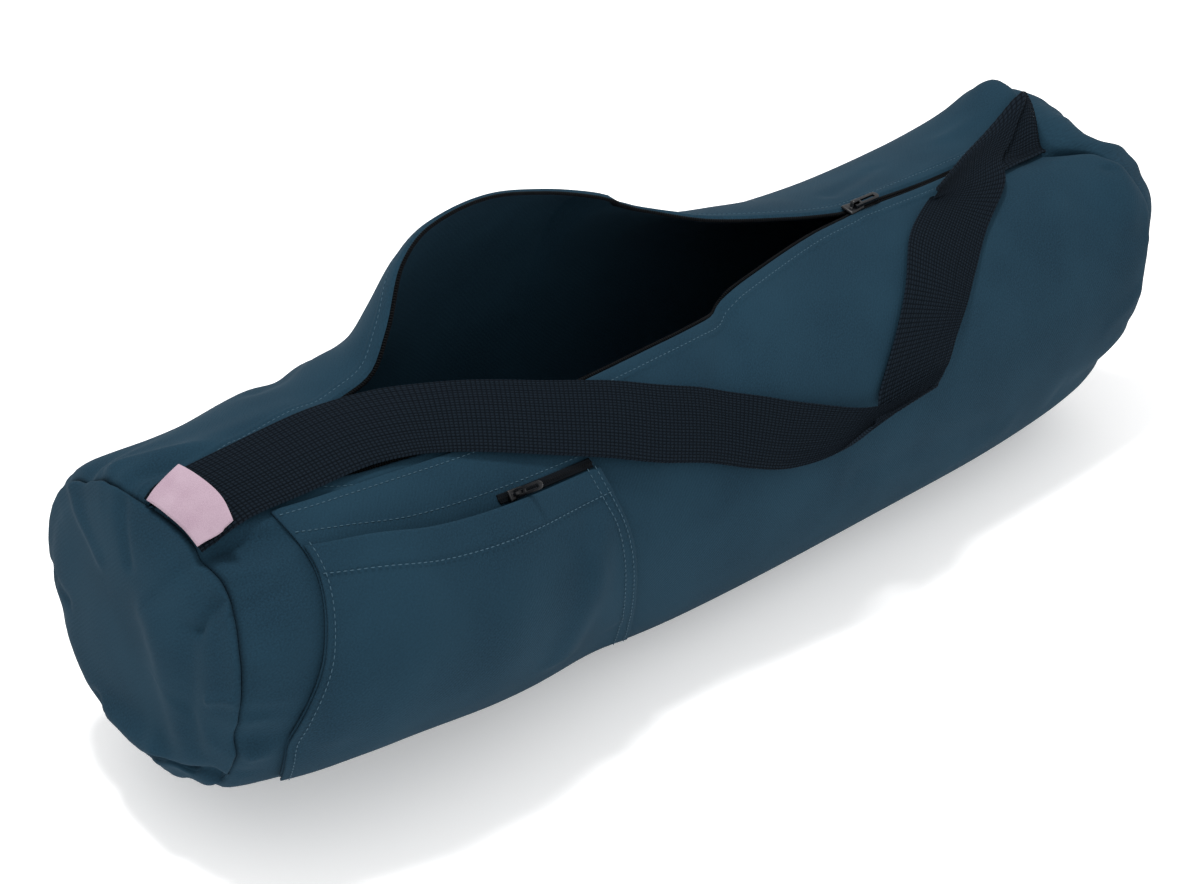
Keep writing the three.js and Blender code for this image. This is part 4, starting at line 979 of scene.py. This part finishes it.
def buildCamera():
    azimuth, elevation = math.radians(view["azimuth"]), math.radians(view["elevation"])
    back = Vector((math.sin(azimuth) * math.cos(elevation),
                   -math.cos(azimuth) * math.cos(elevation), math.sin(elevation)))
    right = Vector((math.cos(azimuth), math.sin(azimuth), 0))
    up = back.cross(right)
    turn = math.radians(view["roll"])
    rolledRight = right * math.cos(turn) + up * math.sin(turn)
    rolledUp = up * math.cos(turn) - right * math.sin(turn)
    camera = placeObject("camera", bpy.data.cameras.new("camera"))
    camera.data.lens = view["lens"]
    camera.data.sensor_width = view["sensor"]
    place = Matrix((rolledRight, rolledUp, back)).transposed().to_4x4()
    place.translation = Vector(view["target"]) + back * view["distance"]
    camera.matrix_world = place
    bpy.context.scene.camera = camera


# A plain pale room: the paper glows a little, so that the floor stays pale in the shadow
paperLook = {"colour": "#fbfbfb", "shadeColour": "#f7f7f7", "wornColour": "#ffffff",
             "ribDirection": "X", "ribPitch": 2.0, "ribDepth": 0.02, "threadGrain": 1.5,
             "dyePatch": 300, "dyeShare": 0.3, "roughness": 0.95, "specular": 0.08,
             "sheen": 0.0, "sheenColour": "#ffffff", "bumpStrength": 0.1}
studio = {"floorReach": 15, "floorGlow": 0.27, "roomLight": 0.92, "lights": (
    {"name": "keyLight", "place": (-0.34, 0.3, 2.8), "aim": (0, 0, 0.05),
     "size": (0.45, 0.4), "power": 46},
    {"name": "fillLight", "place": (-0.8, -2.4, 1.5), "aim": (0, 0, 0.1),
     "size": (1.8, 1.2), "power": 8})}


def buildLight(look):
    data = bpy.data.lights.new(look["name"], "AREA")
    data.shape = "RECTANGLE"
    data.size, data.size_y = look["size"]
    data.energy = look["power"]
    light = placeObject(look["name"], data)
    light.location = look["place"]
    towards = Vector(look["aim"]) - Vector(look["place"])
    light.rotation_euler = towards.to_track_quat("-Z", "Y").to_euler()


def buildStudio():
    floorPaper = clothMaterial("floorPaper", paperLook)
    reach = studio["floorReach"]
    corners = [(-reach, -reach, 0), (reach, -reach, 0), (reach, reach, 0), (-reach, reach, 0)]
    floor = makePiece("floor", corners, [(0, 1, 2, 3)], floorPaper,
                      [(x * 1000, y * 1000) for x, y, z in corners])
    paper = next(node for node in floorPaper.node_tree.nodes if node.type == "BSDF_PRINCIPLED")
    paper.inputs["Emission Color"].default_value = (1, 1, 1, 1)
    paper.inputs["Emission Strength"].default_value = studio["floorGlow"]
    for look in studio["lights"]:
        buildLight(look)
    world = bpy.data.worlds.new("studio")
    world.use_nodes = True
    background = world.node_tree.nodes["Background"]
    background.inputs["Color"].default_value = (1, 1, 1, 1)
    background.inputs["Strength"].default_value = studio["roomLight"]
    bpy.context.scene.world = world
    bpy.context.scene.view_settings.view_transform = "Standard"


buildCamera()
buildStudio()

# What rides where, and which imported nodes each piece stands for
standsFor = {
    bagCloth: ("bag", "twill", ("bag_body",)),
    leftEnd: ("bag", "twill", ("end_cap_left",)),
    rightEnd: ("bag", "twill", ("end_cap_right",)),
    strapWebbing: ("bag", "webbing", ("shoulder_strap",)),
    seamLabel: ("bag", "label", ("seam_label",)),
    pocketBack: ("bag", "twill", ("pocket_back",)),
    pocketFront: ("bag", "twill", ("pocket_front",)),
    tapeNear: ("bag", "zip_tape", ("zip_tape_near",)),
    tapeFar: ("bag", "zip_tape", ("zip_tape_far",)),
    coilNear: ("bag", "zip_tape", ()),
    coilFar: ("bag", "zip_tape", ()),
    zipStitches: ("bag", "twill", ()),
    pocketThread: ("bag", "twill", ()),
    pocketTape: ("bag", "zip_tape", ("pocket_zip",)),
    pocketCoil: ("bag", "zip_tape", ()),
    mainSlider: ("bag", "slider_metal", ("zip_slider",)),
    mainPull: ("main_pull", "slider_metal", ("zip_pull",)),
    smallSlider: ("bag", "slider_metal", ("pocket_slider",)),
    smallPull: ("small_pull", "slider_metal", ("pocket_pull",)),
}
for piece, (body, slotName, nodes) in standsFor.items():
    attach(piece, body)
    if nodes:
        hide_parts(*nodes)

print("pieces ready")
